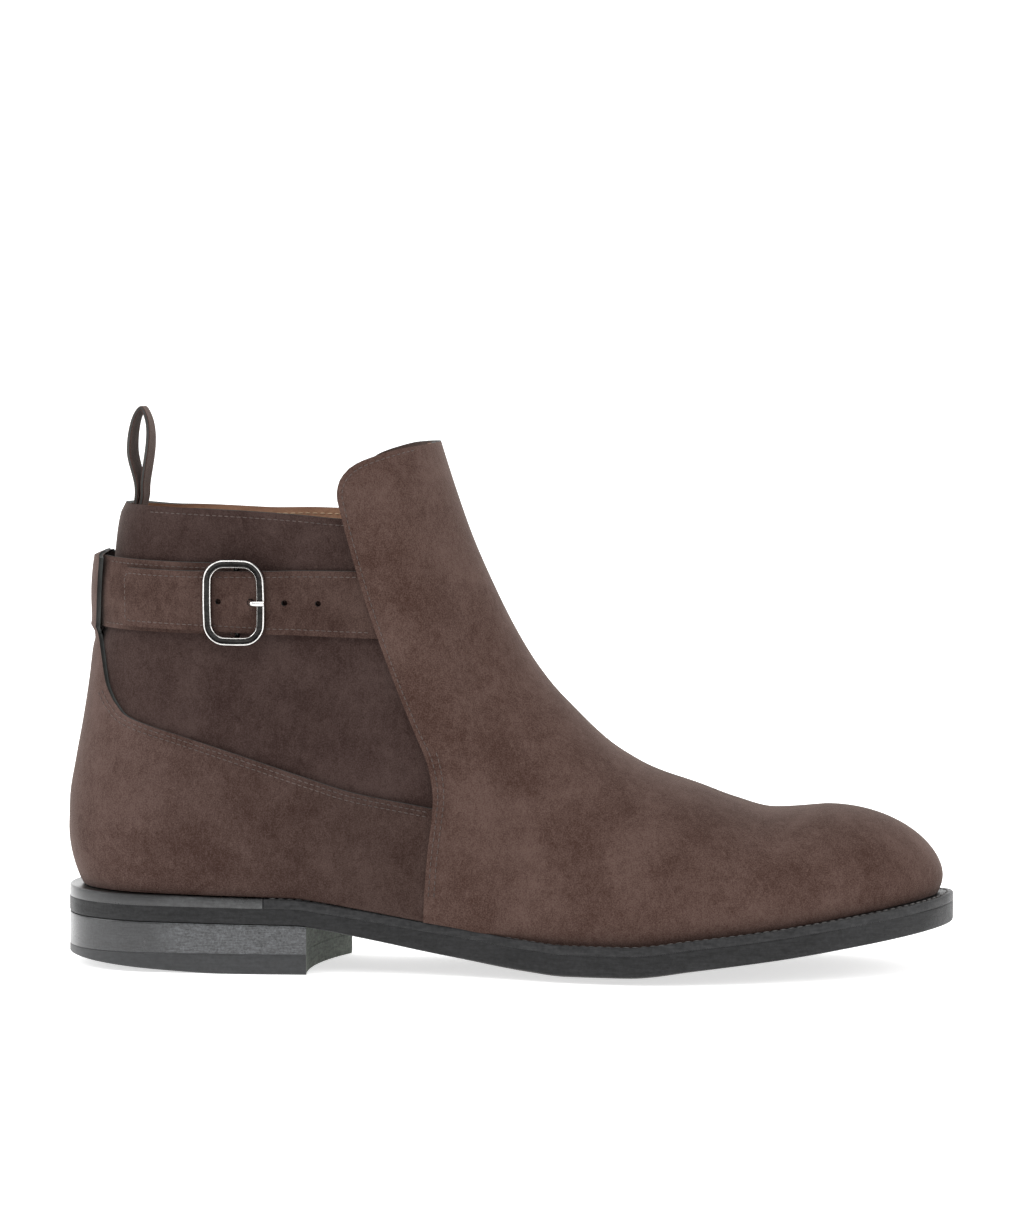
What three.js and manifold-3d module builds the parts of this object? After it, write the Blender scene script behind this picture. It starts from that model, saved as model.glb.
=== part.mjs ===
// A men's suede jodhpur boot for the right foot, about EU 43, in millimetres.
// +Z is up, the toe points to +X and the outer (lateral) side, with the buckle, faces -Y.
// The last is a smooth surface over its side profile: every leather piece of the upper is a shell
// between two offsets of that one surface, and every layer of the sole follows one curved bottom.
import * as THREE from "three";
import { mergeVertices } from "three/addons/utils/BufferGeometryUtils.js";
import Module from "manifold-3d";

const wasm = await Module();
wasm.setup();

// Sizes of the sole
const SOLE_LENGTH = 308;
const BALL_WIDTH = 106;
const WAIST_WIDTH = 61;
const HEEL_WIDTH = 67;
const HEEL_LENGTH = 91.5;
const HEEL_HEIGHT = 16.4;
const TOP_PIECE_HEIGHT = 6.9;
const HEEL_REAR_BEVEL = 4.2;
const HEEL_BREAST_BOW = 4;
const TOE_SPRING = 16.5;
const TREAD_CAMBER = 3;
const OUTSOLE_THICKNESS = 7;
const WELT_THICKNESS = 3;
const WELT_MARGIN = 4.4;
const RAND_LENGTH = 72;
const LIFT_STEP = 0.6;
const INSOLE_RISE = 2;

// Sizes of the upper
const FRONT_HEIGHT = 182;
const BACK_HEIGHT = 161;
const TOE_HEIGHT = 24.3;
const BULGE_HEIGHT = 20;
const BULGE_INSET = 5;
const WALL = 1.8;
const OVERLAY = 1.3;
const FLAP_LIFT = 2.4;
const KEEPER_LIFT = 3.3;

// Sizes of the strap, its buckle and the pull loop
const STRAP_WIDTH = 23;
const STRAP_THICKNESS = 1.6;
const STRAP_HEIGHT = 128.6;
const STRAP_TIP_WIDTH = 20;
const STRAP_HOLE_PITCH = 11.4;
const STRAP_HOLE_RADIUS = 1.5;
const STRAP_HOLES = 4;
const BUCKLE_WIDTH = 22;
const BUCKLE_HEIGHT = 29.8;
const BUCKLE_BAR = 3;
const BUCKLE_THICKNESS = 2.2;
const PRONG_RADIUS = 0.85;
const LOOP_WIDTH = 12;
const LOOP_THICKNESS = 1.3;
const LOOP_HEIGHT = 33;
const LOOP_ROOT = 14;
const LOOP_SPREAD = 9.6;

// Pieces that touch keep this clearance, and joints between long curved faces keep a little more.
const GAP = 0.3;
const JOINT = 0.5;

const LATERAL = -1;
const MEDIAL = 1;
const SIDES = [LATERAL, MEDIAL];

const mix = (a, b, share) => a + (b - a) * share;
const clamp = (value, low = 0, high = 1) => Math.min(high, Math.max(low, value));
const smooth = (value) => clamp(value) ** 2 * (3 - 2 * clamp(value));

// A smooth curve through the points that never overshoots between two of them, and is level beyond them.
function through(points) {
  const slopes = points.slice(1).map(([x, y], i) => (y - points[i][1]) / (x - points[i][0]));
  const tangents = points.map((_, i) => {
    const before = slopes[Math.max(i - 1, 0)];
    const after = slopes[Math.min(i, slopes.length - 1)];
    return before * after > 0 ? (2 * before * after) / (before + after) : 0;
  });
  return (x) => {
    const place = clamp(x, points[0][0], points.at(-1)[0]);
    const i = clamp(points.findIndex((p) => p[0] >= place) - 1, 0, points.length - 2);
    const step = points[i + 1][0] - points[i][0];
    const t = (place - points[i][0]) / step;
    return (
      points[i][1] * (1 + 2 * t) * (1 - t) ** 2 +
      points[i + 1][1] * t * t * (3 - 2 * t) +
      step * (tangents[i] * t * (1 - t) ** 2 + tangents[i + 1] * t * t * (t - 1))
    );
  };
}

// A curve from two columns of a table: "at" is a share of the sole's length, "of" the size that a share follows.
const along = (rows, column) =>
  through(rows.map((row) => [row.at * SOLE_LENGTH, row[column] * (row.of ?? 1)]));

// The sole's outline as half widths either side of a backbone that bows outwards and then in to the toe.
const SOLE_ROWS = [
  { at: 0, of: HEEL_WIDTH, lateral: 0.5, medial: 0.5 },
  { at: 0.2, of: HEEL_WIDTH, lateral: 0.5, medial: 0.495 },
  { at: 0.29, of: HEEL_WIDTH, lateral: 0.478, medial: 0.465 },
  { at: 0.37, of: WAIST_WIDTH, lateral: 0.52, medial: 0.46 },
  { at: 0.43, of: WAIST_WIDTH, lateral: 0.555, medial: 0.475 },
  { at: 0.5, of: BALL_WIDTH, lateral: 0.375, medial: 0.31 },
  { at: 0.57, of: BALL_WIDTH, lateral: 0.44, medial: 0.39 },
  { at: 0.64, of: BALL_WIDTH, lateral: 0.487, medial: 0.455 },
  { at: 0.72, of: BALL_WIDTH, lateral: 0.507, medial: 0.493 },
  { at: 1, of: BALL_WIDTH, lateral: 0.507, medial: 0.493 },
];
const BACKBONE_ROWS = [
  { at: 0, of: BALL_WIDTH, shift: 0.02 },
  { at: 0.12, of: BALL_WIDTH, shift: 0.004 },
  { at: 0.29, of: BALL_WIDTH, shift: -0.024 },
  { at: 0.45, of: BALL_WIDTH, shift: -0.042 },
  { at: 0.6, of: BALL_WIDTH, shift: -0.036 },
  { at: 0.75, of: BALL_WIDTH, shift: -0.008 },
  { at: 0.9, of: BALL_WIDTH, shift: 0.034 },
  { at: 1, of: BALL_WIDTH, shift: 0.06 },
];
// The tread line: height of the outsole's underside, how far its edges lift, and its thickness.
const TREAD_ROWS = [
  { at: 0, of: HEEL_HEIGHT, rise: 1.11 },
  { at: 0.15, of: HEEL_HEIGHT, rise: 1.06 },
  { at: 0.27, of: HEEL_HEIGHT, rise: 1.03 },
  { at: 0.3, of: HEEL_HEIGHT, rise: 0.95 },
  { at: 0.34, of: HEEL_HEIGHT, rise: 0.78 },
  { at: 0.41, of: HEEL_HEIGHT, rise: 0.48 },
  { at: 0.46, of: HEEL_HEIGHT, rise: 0.3 },
  { at: 0.53, of: HEEL_HEIGHT, rise: 0.08 },
  { at: 0.575, of: HEEL_HEIGHT, rise: 0 },
  { at: 0.645, of: TOE_SPRING, rise: 0 },
  { at: 0.72, of: TOE_SPRING, rise: 0.17 },
  { at: 0.81, of: TOE_SPRING, rise: 0.42 },
  { at: 0.906, of: TOE_SPRING, rise: 0.73 },
  { at: 1, of: TOE_SPRING, rise: 1 },
];
const CAMBER_ROWS = [
  { at: 0.3, of: TREAD_CAMBER, lift: 0 },
  { at: 0.41, of: TREAD_CAMBER, lift: 0.5 },
  { at: 0.57, of: TREAD_CAMBER, lift: 1 },
  { at: 0.65, of: TREAD_CAMBER, lift: 1 },
  { at: 0.81, of: TREAD_CAMBER, lift: 0.7 },
  { at: 1, of: TREAD_CAMBER, lift: 0 },
];
const OUTSOLE_ROWS = [
  { at: 0.29, of: OUTSOLE_THICKNESS, depth: 0.78 },
  { at: 0.45, of: OUTSOLE_THICKNESS, depth: 1 },
];
const WELT_ROWS = [
  { at: 0, of: WELT_THICKNESS, depth: 1.25 },
  { at: 0.2, of: WELT_THICKNESS, depth: 1.08 },
  { at: 0.45, of: WELT_THICKNESS, depth: 1 },
];
const TOE_ROUND_FROM = 0.665 * SOLE_LENGTH;
const FLAT_TREAD = 0.4;

const halfSpline = { [LATERAL]: along(SOLE_ROWS, "lateral"), [MEDIAL]: along(SOLE_ROWS, "medial") };
const backbone = along(BACKBONE_ROWS, "shift");
const treadRise = along(TREAD_ROWS, "rise");
const camberLift = along(CAMBER_ROWS, "lift");
const outsoleDepth = along(OUTSOLE_ROWS, "depth");
const weltDepth = along(WELT_ROWS, "depth");

const toeRound = (x, tip) => {
  const share = clamp((x - TOE_ROUND_FROM) / (tip - TOE_ROUND_FROM));
  return Math.sqrt(1 - share ** 2);
};
const HEEL_ROUND_POWER = 2.2;
const heelRound = (x, back) => {
  const share = clamp(1 - (x - back) / (HEEL_WIDTH / 2));
  return (1 - share ** HEEL_ROUND_POWER) ** (1 / HEEL_ROUND_POWER);
};
const soleHalf = (side, x) => halfSpline[side](x) * toeRound(x, SOLE_LENGTH) * heelRound(x, 0);

// Heights of the sole's layers over a point of the plan. The tread is flat in the middle and lifts at the edges.
function treadAt(x, y) {
  const side = y < backbone(x) ? LATERAL : MEDIAL;
  const across = Math.abs(y - backbone(x)) / halfSpline[side](x);
  const outer = Math.max(0, (across - FLAT_TREAD) / (1 - FLAT_TREAD));
  return treadRise(x) + camberLift(x) * outer ** 2;
}
const outsoleTopAt = (x, y) => treadAt(x, y) + outsoleDepth(x);
const weltTopAt = (x, y) => outsoleTopAt(x, y) + GAP + weltDepth(x);
const featherAt = (x, y) => weltTopAt(x, y) + GAP;

// The upper's side profile, as the shares of its own sizes.
const TOP_FRONT_X = 0.419 * SOLE_LENGTH;
const CROWN_X = 0.857 * SOLE_LENGTH;
const TIP_MARGIN = WELT_MARGIN + 0.8;
const UPPER_TIP = SOLE_LENGTH - TIP_MARGIN;
const TOE_POWER = 0.6;
const FRONT_RISE = FRONT_HEIGHT - featherAt(TOP_FRONT_X, backbone(TOP_FRONT_X));
const RIDGE_ROWS = [
  { at: 0.419, rise: 1 },
  { at: 0.438, rise: 0.915 },
  { at: 0.455, rise: 0.83 },
  { at: 0.478, rise: 0.737 },
  { at: 0.501, rise: 0.655 },
  { at: 0.524, rise: 0.586 },
  { at: 0.546, rise: 0.533 },
  { at: 0.569, rise: 0.49 },
  { at: 0.592, rise: 0.447 },
  { at: 0.615, rise: 0.409 },
  { at: 0.638, rise: 0.38 },
  { at: 0.661, rise: 0.355 },
  { at: 0.707, rise: 0.312 },
  { at: 0.752, rise: 0.269 },
  { at: 0.798, rise: 0.237 },
  { at: 0.857, rise: 0.224 },
];
const BACK_ROWS = [
  { up: 0.298, back: 0.0058 },
  { up: 0.36, back: 0.0068 },
  { up: 0.44, back: 0.0135 },
  { up: 0.53, back: 0.0222 },
  { up: 0.615, back: 0.0293 },
  { up: 0.69, back: 0.0345 },
  { up: 0.735, back: 0.042 },
  { up: 0.79, back: 0.0448 },
  { up: 0.88, back: 0.053 },
  { up: 0.945, back: 0.0571 },
  { up: 0.985, back: 0.062 },
  { up: 1, back: 0.068 },
];
// The last's own top rim, and the quarters' collar line, which climbs to the front only under the vamp.
const RIM_ROWS = [
  { at: 0.06, of: BACK_HEIGHT, height: 1.03 },
  { at: 0.22, of: BACK_HEIGHT, height: 1.035 },
  { at: 0.285, of: FRONT_HEIGHT, height: 0.945 },
  { at: 0.32, of: FRONT_HEIGHT, height: 0.97 },
  { at: 0.36, of: FRONT_HEIGHT, height: 0.985 },
  { at: 0.419, of: FRONT_HEIGHT, height: 1 },
];
const COLLAR_ROWS = [
  { at: 0.06, of: BACK_HEIGHT, height: 1, drop: 0 },
  { at: 0.12, of: BACK_HEIGHT, height: 0.998, drop: 0.013 },
  { at: 0.21, of: BACK_HEIGHT, height: 0.991, drop: 0.013 },
  { at: 0.27, of: BACK_HEIGHT, height: 0.984, drop: 0.006 },
  { at: 0.335, of: BACK_HEIGHT, height: 0.975, drop: 0 },
  { at: 0.36, of: FRONT_HEIGHT, height: 0.91, drop: 0 },
  { at: 0.395, of: FRONT_HEIGHT, height: 0.97, drop: 0 },
  { at: 0.43, of: FRONT_HEIGHT, height: 1.03, drop: 0 },
];
// How high the widest line of the upper stands over the sole, and how far the upper is tucked in below it.
const BULGE_ROWS = [
  { at: 0, height: 1, inset: 1 },
  { at: 0.2, height: 0.85, inset: 0.65 },
  { at: 0.4, height: 0.6, inset: 0.5 },
  { at: 0.6, height: 0.5, inset: 0.45 },
  { at: 0.8, height: 0.44, inset: 0.42 },
  { at: 1, height: 0.28, inset: 0.4 },
];
// Half widths of the upper: its margin inside the sole's edge, then the ankle's and the collar's share of them.
const WIDTH_ROWS = [
  { at: 0, lateral: 0.28, medial: 0.28, ankle: 0.87, collar: 0.95 },
  { at: 0.11, lateral: 0.28, medial: 0.28, ankle: 0.88, collar: 0.965 },
  { at: 0.2, lateral: 0.25, medial: 0.2, ankle: 0.91, collar: 0.985 },
  { at: 0.3, lateral: 0, medial: -0.35, ankle: 0.97, collar: 1.02 },
  { at: 0.41, lateral: -0.1, medial: -0.75, ankle: 0.98, collar: 0.97 },
  { at: 0.49, lateral: 0.25, medial: -0.2, ankle: 0.93, collar: 0.9 },
  { at: 0.56, lateral: 0.8, medial: 0.7, ankle: 0.95, collar: 0.95 },
  { at: 0.62, lateral: 1, medial: 1, ankle: 1, collar: 1 },
];
const ANKLE_LEVEL = 0.52 * FRONT_HEIGHT;
const ROUND_DEPTH = 0.61 * FRONT_HEIGHT;
const SECTION_POWER = { [LATERAL]: 2.0, [MEDIAL]: 2.25 };

const ridgeShare = along(RIDGE_ROWS, "rise");
const backAt = through(BACK_ROWS.map((row) => [row.up * BACK_HEIGHT, row.back * SOLE_LENGTH]));
const rimAt = along(RIM_ROWS, "height");
const bulgeShare = along(BULGE_ROWS, "height");
const insetShare = along(BULGE_ROWS, "inset");
const marginShare = { [LATERAL]: along(WIDTH_ROWS, "lateral"), [MEDIAL]: along(WIDTH_ROWS, "medial") };
const ankleShare = along(WIDTH_ROWS, "ankle");
const collarShare = along(WIDTH_ROWS, "collar");

const bulgeAt = (x) => featherAt(x, backbone(x)) + camberLift(x) + BULGE_HEIGHT * bulgeShare(x);
const ridgeSpline = (x) => featherAt(x, backbone(x)) + FRONT_RISE * ridgeShare(x);
const FRONT_STEP = 0.01 * SOLE_LENGTH;
const FRONT_SLOPE = (ridgeSpline(TOP_FRONT_X) - ridgeSpline(TOP_FRONT_X + FRONT_STEP)) / FRONT_STEP;

// Height of the boot's top line over x: the shaft's front, carried on upwards, the instep, and the toe's round.
function ridgeAt(x) {
  if (x < TOP_FRONT_X) return FRONT_HEIGHT + (TOP_FRONT_X - x) * FRONT_SLOPE;
  if (x <= CROWN_X) return ridgeSpline(x);
  const share = clamp((x - CROWN_X) / (UPPER_TIP - CROWN_X));
  const tip = bulgeAt(UPPER_TIP);
  return mix(tip, Math.max(ridgeSpline(CROWN_X), tip + TOE_HEIGHT), (1 - share ** 2) ** TOE_POWER);
}

// Half width of the upper at its widest line, and then at any height.
const lowHalf = (side, x) =>
  (halfSpline[side](x) - WELT_MARGIN * marginShare[side](x)) * toeRound(x, UPPER_TIP);
function upperHalf(side, x, z) {
  const low = lowHalf(side, x);
  const width = through([
    [bulgeAt(x), low],
    [Math.max(ANKLE_LEVEL, bulgeAt(x) + BULGE_HEIGHT), low * ankleShare(x)],
    [Math.max(BACK_HEIGHT, bulgeAt(x) + 2 * BULGE_HEIGHT), low * collarShare(x)],
  ])(z);
  const depth = Math.min(ridgeAt(x) - bulgeAt(x), ROUND_DEPTH);
  const down = clamp((ridgeAt(x) - z) / depth);
  const rounded = (1 - (1 - down) ** SECTION_POWER[side]) ** 0.5;
  return width * rounded * heelRound(x, backAt(z));
}

// The grid of the upper's surface: columns run from the back seam to the toe, and rows from the sole up.
const BACK_COLUMNS = 14;
const FRONT_COLUMNS = 17;
const COLUMNS = BACK_COLUMNS + FRONT_COLUMNS;
const TUCK_ROWS = 2;
const DOME_ROWS = 8;
const ROWS = TUCK_ROWS + DOME_ROWS;
const DIVIDE_X = 0.455 * SOLE_LENGTH;
const TOE_COLUMNS_FROM = 0.4;
const FAN_ROWS = [
  { part: 0, top: 0.419 },
  { part: 0.15, top: 0.49 },
  { part: 0.25, top: 0.56 },
  { part: 0.4, top: 0.66 },
  { part: 0.6, top: 0.755 },
  { part: 0.8, top: 0.825 },
  { part: 1, top: 0.865 },
];
const fanTop = through(FAN_ROWS.map((row) => [row.part, row.top * SOLE_LENGTH]));
const divideAt = (z) => {
  const low = bulgeAt(DIVIDE_X);
  return mix(DIVIDE_X, TOP_FRONT_X, clamp((z - low) / (FRONT_HEIGHT - low)));
};

function fanFoot(part) {
  if (part < TOE_COLUMNS_FROM) return mix(DIVIDE_X, TOE_ROUND_FROM, (part / TOE_COLUMNS_FROM) ** 1.3);
  const angle = ((part - TOE_COLUMNS_FROM) / (1 - TOE_COLUMNS_FROM)) * (Math.PI / 2);
  return mix(TOE_ROUND_FROM, UPPER_TIP, Math.sin(angle));
}

// A point of the shaft and heel, behind the dividing line: "round" goes round from the back, "up" from bulge to rim.
function shaftPoint(side, round, up) {
  const foot = 1 - Math.cos((round * Math.PI) / 2);
  const top = (1 - Math.cos(round * Math.PI)) / 2;
  const low = bulgeAt(mix(backAt(bulgeAt(0)), DIVIDE_X, foot));
  const high = rimAt(mix(backAt(BACK_HEIGHT), TOP_FRONT_X, top));
  const z = mix(low, high, mix(up, Math.sin((up * Math.PI) / 2), round ** 3));
  const share = mix(foot, top, up);
  const x = mix(backAt(z), divideAt(z), share);
  const onRim = round === 0 || (round === 1 && up === 1);
  return new THREE.Vector3(x, backbone(x) + (onRim ? 0 : side * upperHalf(side, x, z)), z);
}

// A point of the foot, in front of the dividing line: its column leans from the bulge to the ridge.
function footPoint(side, part, up) {
  const foot = fanFoot(part);
  const top = fanTop(part);
  const turn = (up * Math.PI) / 2;
  if (part < TOE_COLUMNS_FROM) {
    const x = mix(foot, top, Math.sin(turn) ** 2);
    const z = mix(bulgeAt(x), ridgeAt(x), Math.sin(turn));
    return new THREE.Vector3(x, backbone(x) + (up === 1 ? 0 : side * upperHalf(side, x, z)), z);
  }
  const x = mix(foot, top, 1 - Math.cos(turn));
  const outward = up === 1 || part === 1 ? 0 : lowHalf(side, foot) * Math.cos(turn);
  const over = lowHalf(side, x) > 0 ? clamp(outward / lowHalf(side, x)) : 0;
  const rise = (1 - over ** 2) ** (1 / SECTION_POWER[side]);
  return new THREE.Vector3(x, backbone(x) + side * outward, mix(bulgeAt(x), ridgeAt(x), rise));
}

const domePoint = (side, column, row) =>
  column <= BACK_COLUMNS
    ? shaftPoint(side, column / BACK_COLUMNS, row / DOME_ROWS)
    : footPoint(side, (column - BACK_COLUMNS) / FRONT_COLUMNS, row / DOME_ROWS);

// Outward direction in plan of the bulge line at a column.
function outwardAt(side, column) {
  if (column === 0) return new THREE.Vector3(-1, 0, 0);
  if (column === COLUMNS) return new THREE.Vector3(1, 0, 0);
  const run = domePoint(side, column + 1, 0).sub(domePoint(side, column - 1, 0));
  return new THREE.Vector3(-side * run.y, side * run.x, 0).normalize();
}

// The tucked-in strip under the bulge line, down to the feather line on the welt: "down" is 1 there.
function tuckPoint(side, column, down) {
  const bulge = domePoint(side, column, 0);
  const outward = outwardAt(side, column);
  const inset = BULGE_INSET * insetShare(bulge.x) * down ** 2;
  const point = bulge.clone().addScaledVector(outward, -inset);
  point.z = mix(bulge.z, featherAt(point.x, point.y), down);
  return point;
}

const gridPoint = (side, column, row) =>
  row < TUCK_ROWS ? tuckPoint(side, column, 1 - row / TUCK_ROWS) : domePoint(side, column, row - TUCK_ROWS);

// The whole surface as shared vertices, triangles that face out, and a normal for each vertex.
function makeSurface() {
  const points = [];
  const rims = [];
  const found = new Map();
  const vertex = (side, column, row) => {
    const point = gridPoint(side, column, row);
    const key = point.toArray().map((value) => value.toFixed(4)).join();
    if (!found.has(key)) {
      found.set(key, points.push(point) - 1);
      rims.push(row === 0);
    }
    return found.get(key);
  };
  const faces = [];
  const addFace = (...corners) => {
    if (new Set(corners).size === 3) faces.push(corners);
  };
  for (const side of SIDES) {
    for (let column = 0; column < COLUMNS; column++) {
      for (let row = 0; row < ROWS; row++) {
        const [a, b] = [vertex(side, column, row), vertex(side, column + 1, row)];
        const [c, d] = [vertex(side, column + 1, row + 1), vertex(side, column, row + 1)];
        if (side === LATERAL) {
          addFace(a, b, c);
          addFace(a, c, d);
        } else {
          addFace(a, c, b);
          addFace(a, d, c);
        }
      }
    }
  }
  const normals = points.map(() => new THREE.Vector3());
  for (const [a, b, c] of faces) {
    const edge = points[b].clone().sub(points[a]);
    const turn = edge.cross(points[c].clone().sub(points[a]));
    [a, b, c].forEach((corner) => normals[corner].add(turn));
  }
  normals.forEach((normal, i) => {
    if (rims[i]) normal.z = 0;
    normal.normalize();
  });
  return { points, faces, normals, rims };
}
const surface = makeSurface();

function geometryOf(vertices, triangles) {
  const geometry = new THREE.BufferGeometry();
  geometry.setAttribute("position", new THREE.Float32BufferAttribute(vertices.flatMap((v) => v.toArray()), 3));
  geometry.setIndex(triangles.flat());
  return geometry;
}

function solidOf(geometry) {
  const bare = geometry.clone();
  bare.deleteAttribute("normal");
  bare.deleteAttribute("uv");
  const merged = mergeVertices(bare, 1e-4);
  const corners = merged.index.array;
  const kept = [];
  for (let i = 0; i < corners.length; i += 3) {
    const [a, b, c] = [corners[i], corners[i + 1], corners[i + 2]];
    if (a !== b && b !== c && c !== a) kept.push(a, b, c);
  }
  const mesh = new wasm.Mesh({
    numProp: 3,
    vertProperties: new Float32Array(merged.attributes.position.array),
    triVerts: new Uint32Array(kept),
  });
  return new wasm.Manifold(mesh);
}

function geometryFrom(solid) {
  const mesh = solid.getMesh();
  const geometry = new THREE.BufferGeometry();
  const vertices = new Float32Array(mesh.numVert * 3);
  for (let i = 0; i < mesh.numVert; i++) {
    vertices.set(mesh.vertProperties.subarray(i * mesh.numProp, i * mesh.numProp + 3), i * 3);
  }
  geometry.setAttribute("position", new THREE.BufferAttribute(vertices, 3));
  geometry.setIndex(Array.from(mesh.triVerts));
  return geometry;
}

// A closed shell between two offsets of the upper's surface. Each offset is a function of the surface point.
function shell(inner, outer) {
  const shifted = (offset) =>
    surface.points.map((point, i) => {
      const moved = point.clone().addScaledVector(surface.normals[i], offset(point));
      if (surface.rims[i]) moved.z = featherAt(moved.x, moved.y) + JOINT - GAP;
      return moved;
    });
  const count = surface.points.length;
  const triangles = [];
  const edges = new Set();
  for (const [a, b, c] of surface.faces) {
    triangles.push([a, b, c], [a + count, c + count, b + count]);
    [[a, b], [b, c], [c, a]].forEach(([from, to]) => edges.add(`${from},${to}`));
  }
  for (const edge of edges) {
    const [from, to] = edge.split(",").map(Number);
    if (edges.has(`${to},${from}`)) continue;
    triangles.push([to, from, from + count], [to, from + count, to + count]);
  }
  return solidOf(geometryOf([...shifted(outer), ...shifted(inner)], triangles));
}

// A wide prism over an outline of the side view, from y = low to y = high.
function sidePrism(shape, low, high, curveSegments = 6) {
  const geometry = new THREE.ExtrudeGeometry(shape, { depth: high - low, bevelEnabled: false, curveSegments });
  geometry.rotateX(Math.PI / 2);
  geometry.translate(0, high, 0);
  return solidOf(geometry);
}
const sideVector = (x, z) => new THREE.Vector2(x, z);
const REACH = BALL_WIDTH;

// The vamp's rear edge: a free flap down to the foxing, then sewn down to the sole.
const FLAP_ROWS = [
  { up: 0, at: 0.4125 },
  { up: 0.22, at: 0.4205 },
  { up: 0.34, at: 0.4275 },
  { up: 0.4, at: 0.422 },
  { up: 0.46, at: 0.4077 },
  { up: 0.58, at: 0.3783 },
  { up: 0.7, at: 0.353 },
  { up: 0.83, at: 0.3305 },
  { up: 0.9, at: 0.32 },
];
const flapAt = through(FLAP_ROWS.map((row) => [row.up * FRONT_HEIGHT, row.at * SOLE_LENGTH]));
const FLAP_CORNER = 0.9 * FRONT_HEIGHT;
const FLAP_SHOULDER_X = 0.35 * SOLE_LENGTH;
const FLAP_SHOULDER_Z = 0.975 * FRONT_HEIGHT;

function vampOutline() {
  const shape = new THREE.Shape();
  const ahead = SOLE_LENGTH + REACH;
  const steps = 18;
  shape.moveTo(ahead, -REACH);
  shape.lineTo(flapAt(0), -REACH);
  for (let i = 0; i <= steps; i++) {
    const z = (FLAP_CORNER * i) / steps;
    shape.lineTo(flapAt(z), z);
  }
  const cornerZ = mix(FLAP_CORNER, FLAP_SHOULDER_Z, 0.72);
  shape.quadraticCurveTo(flapAt(FLAP_CORNER) - 1, cornerZ, FLAP_SHOULDER_X, FLAP_SHOULDER_Z);
  shape.quadraticCurveTo(TOP_FRONT_X - 4, FRONT_HEIGHT + 2, TOP_FRONT_X + REACH / 4, FRONT_HEIGHT + 3);
  shape.lineTo(ahead, FRONT_HEIGHT + 3);
  shape.closePath();
  return shape;
}

// The heel foxing: a long counter whose top line falls to the vamp, and a strip up the back that keeps the strap.
const STRAP_LOW = STRAP_HEIGHT - STRAP_WIDTH / 2;
const STRAP_FLARE = 1.4;
const STRAP_HIGH = STRAP_HEIGHT + STRAP_WIDTH / 2 + STRAP_FLARE;
const KEEPER_TOP = STRAP_HIGH + 2 * OVERLAY;
const FOXING_UNDERLAP = 8;
const FOXING_ROWS = [
  { at: 0.038, up: 0.73 },
  { at: 0.0445, up: 0.68 },
  { at: 0.051, up: 0.62 },
  { at: 0.0575, up: 0.592 },
  { at: 0.0655, up: 0.57 },
  { at: 0.083, up: 0.5425 },
  { at: 0.147, up: 0.504 },
  { at: 0.218, up: 0.462 },
  { at: 0.29, up: 0.4185 },
  { at: 0.347, up: 0.388 },
  { at: 0.45, up: 0.354 },
];
function foxingOutline() {
  const shape = new THREE.Shape();
  const behind = -REACH / 2;
  shape.moveTo(behind, -REACH);
  shape.lineTo(flapAt(0) + FOXING_UNDERLAP, -REACH);
  const line = FOXING_ROWS.map((row) => sideVector(row.at * SOLE_LENGTH, row.up * BACK_HEIGHT));
  const front = flapAt(line.at(-1).y) + FOXING_UNDERLAP;
  line[line.length - 1].x = front;
  shape.lineTo(front, line.at(-1).y);
  shape.splineThru([...line].reverse().slice(1));
  const lean = backAt(KEEPER_TOP) - backAt(line[0].y);
  shape.lineTo(line[0].x + lean, KEEPER_TOP);
  shape.lineTo(behind, KEEPER_TOP);
  shape.closePath();
  return shape;
}

// The strap falls slightly towards the front. "lift" is its height over the line at x.
const BUCKLE_X = 0.206 * SOLE_LENGTH;
const STRAP_FALL = 0.018;
const strapMiddle = (x) => STRAP_HEIGHT - STRAP_FALL * (x - BUCKLE_X);
function bandOutline(fromX, toX, lowFrom, lowTo, highFrom, highTo) {
  const shape = new THREE.Shape();
  shape.moveTo(fromX, strapMiddle(fromX) - lowFrom);
  shape.lineTo(toX, strapMiddle(toX) - lowTo);
  shape.lineTo(toX, strapMiddle(toX) + highTo);
  shape.lineTo(fromX, strapMiddle(fromX) + highFrom);
  shape.closePath();
  return shape;
}

// How high each layer lies over the upper's own surface.
const overBackStrap = GAP + STRAP_THICKNESS + GAP;
const flapLift = (point) => {
  const behind = flapAt(point.z) + 4 * FOXING_UNDERLAP - point.x;
  return mix(GAP, Math.max(FLAP_LIFT, overBackStrap), smooth(behind / (2 * FOXING_UNDERLAP)));
};
const keeperLift = (point) => {
  const ramp = FOXING_UNDERLAP;
  const inside = Math.min(point.z - (STRAP_LOW - 1.5 * ramp), STRAP_HIGH + 1.5 * ramp - point.z);
  return mix(GAP, Math.max(KEEPER_LIFT, overBackStrap), smooth(inside / ramp));
};
const BUCKLE_BAR_RADIUS = 0.9;
const overBar = 2 * GAP + 2 * BUCKLE_BAR_RADIUS + GAP;
const tipLift = (point) => {
  const ahead = point.x - (BUCKLE_X + BUCKLE_WIDTH / 2);
  return mix(overBar, GAP, smooth(ahead / (1.4 * FOXING_UNDERLAP)));
};
const raised = (lift, by) => (point) => lift(point) + by;

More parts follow.
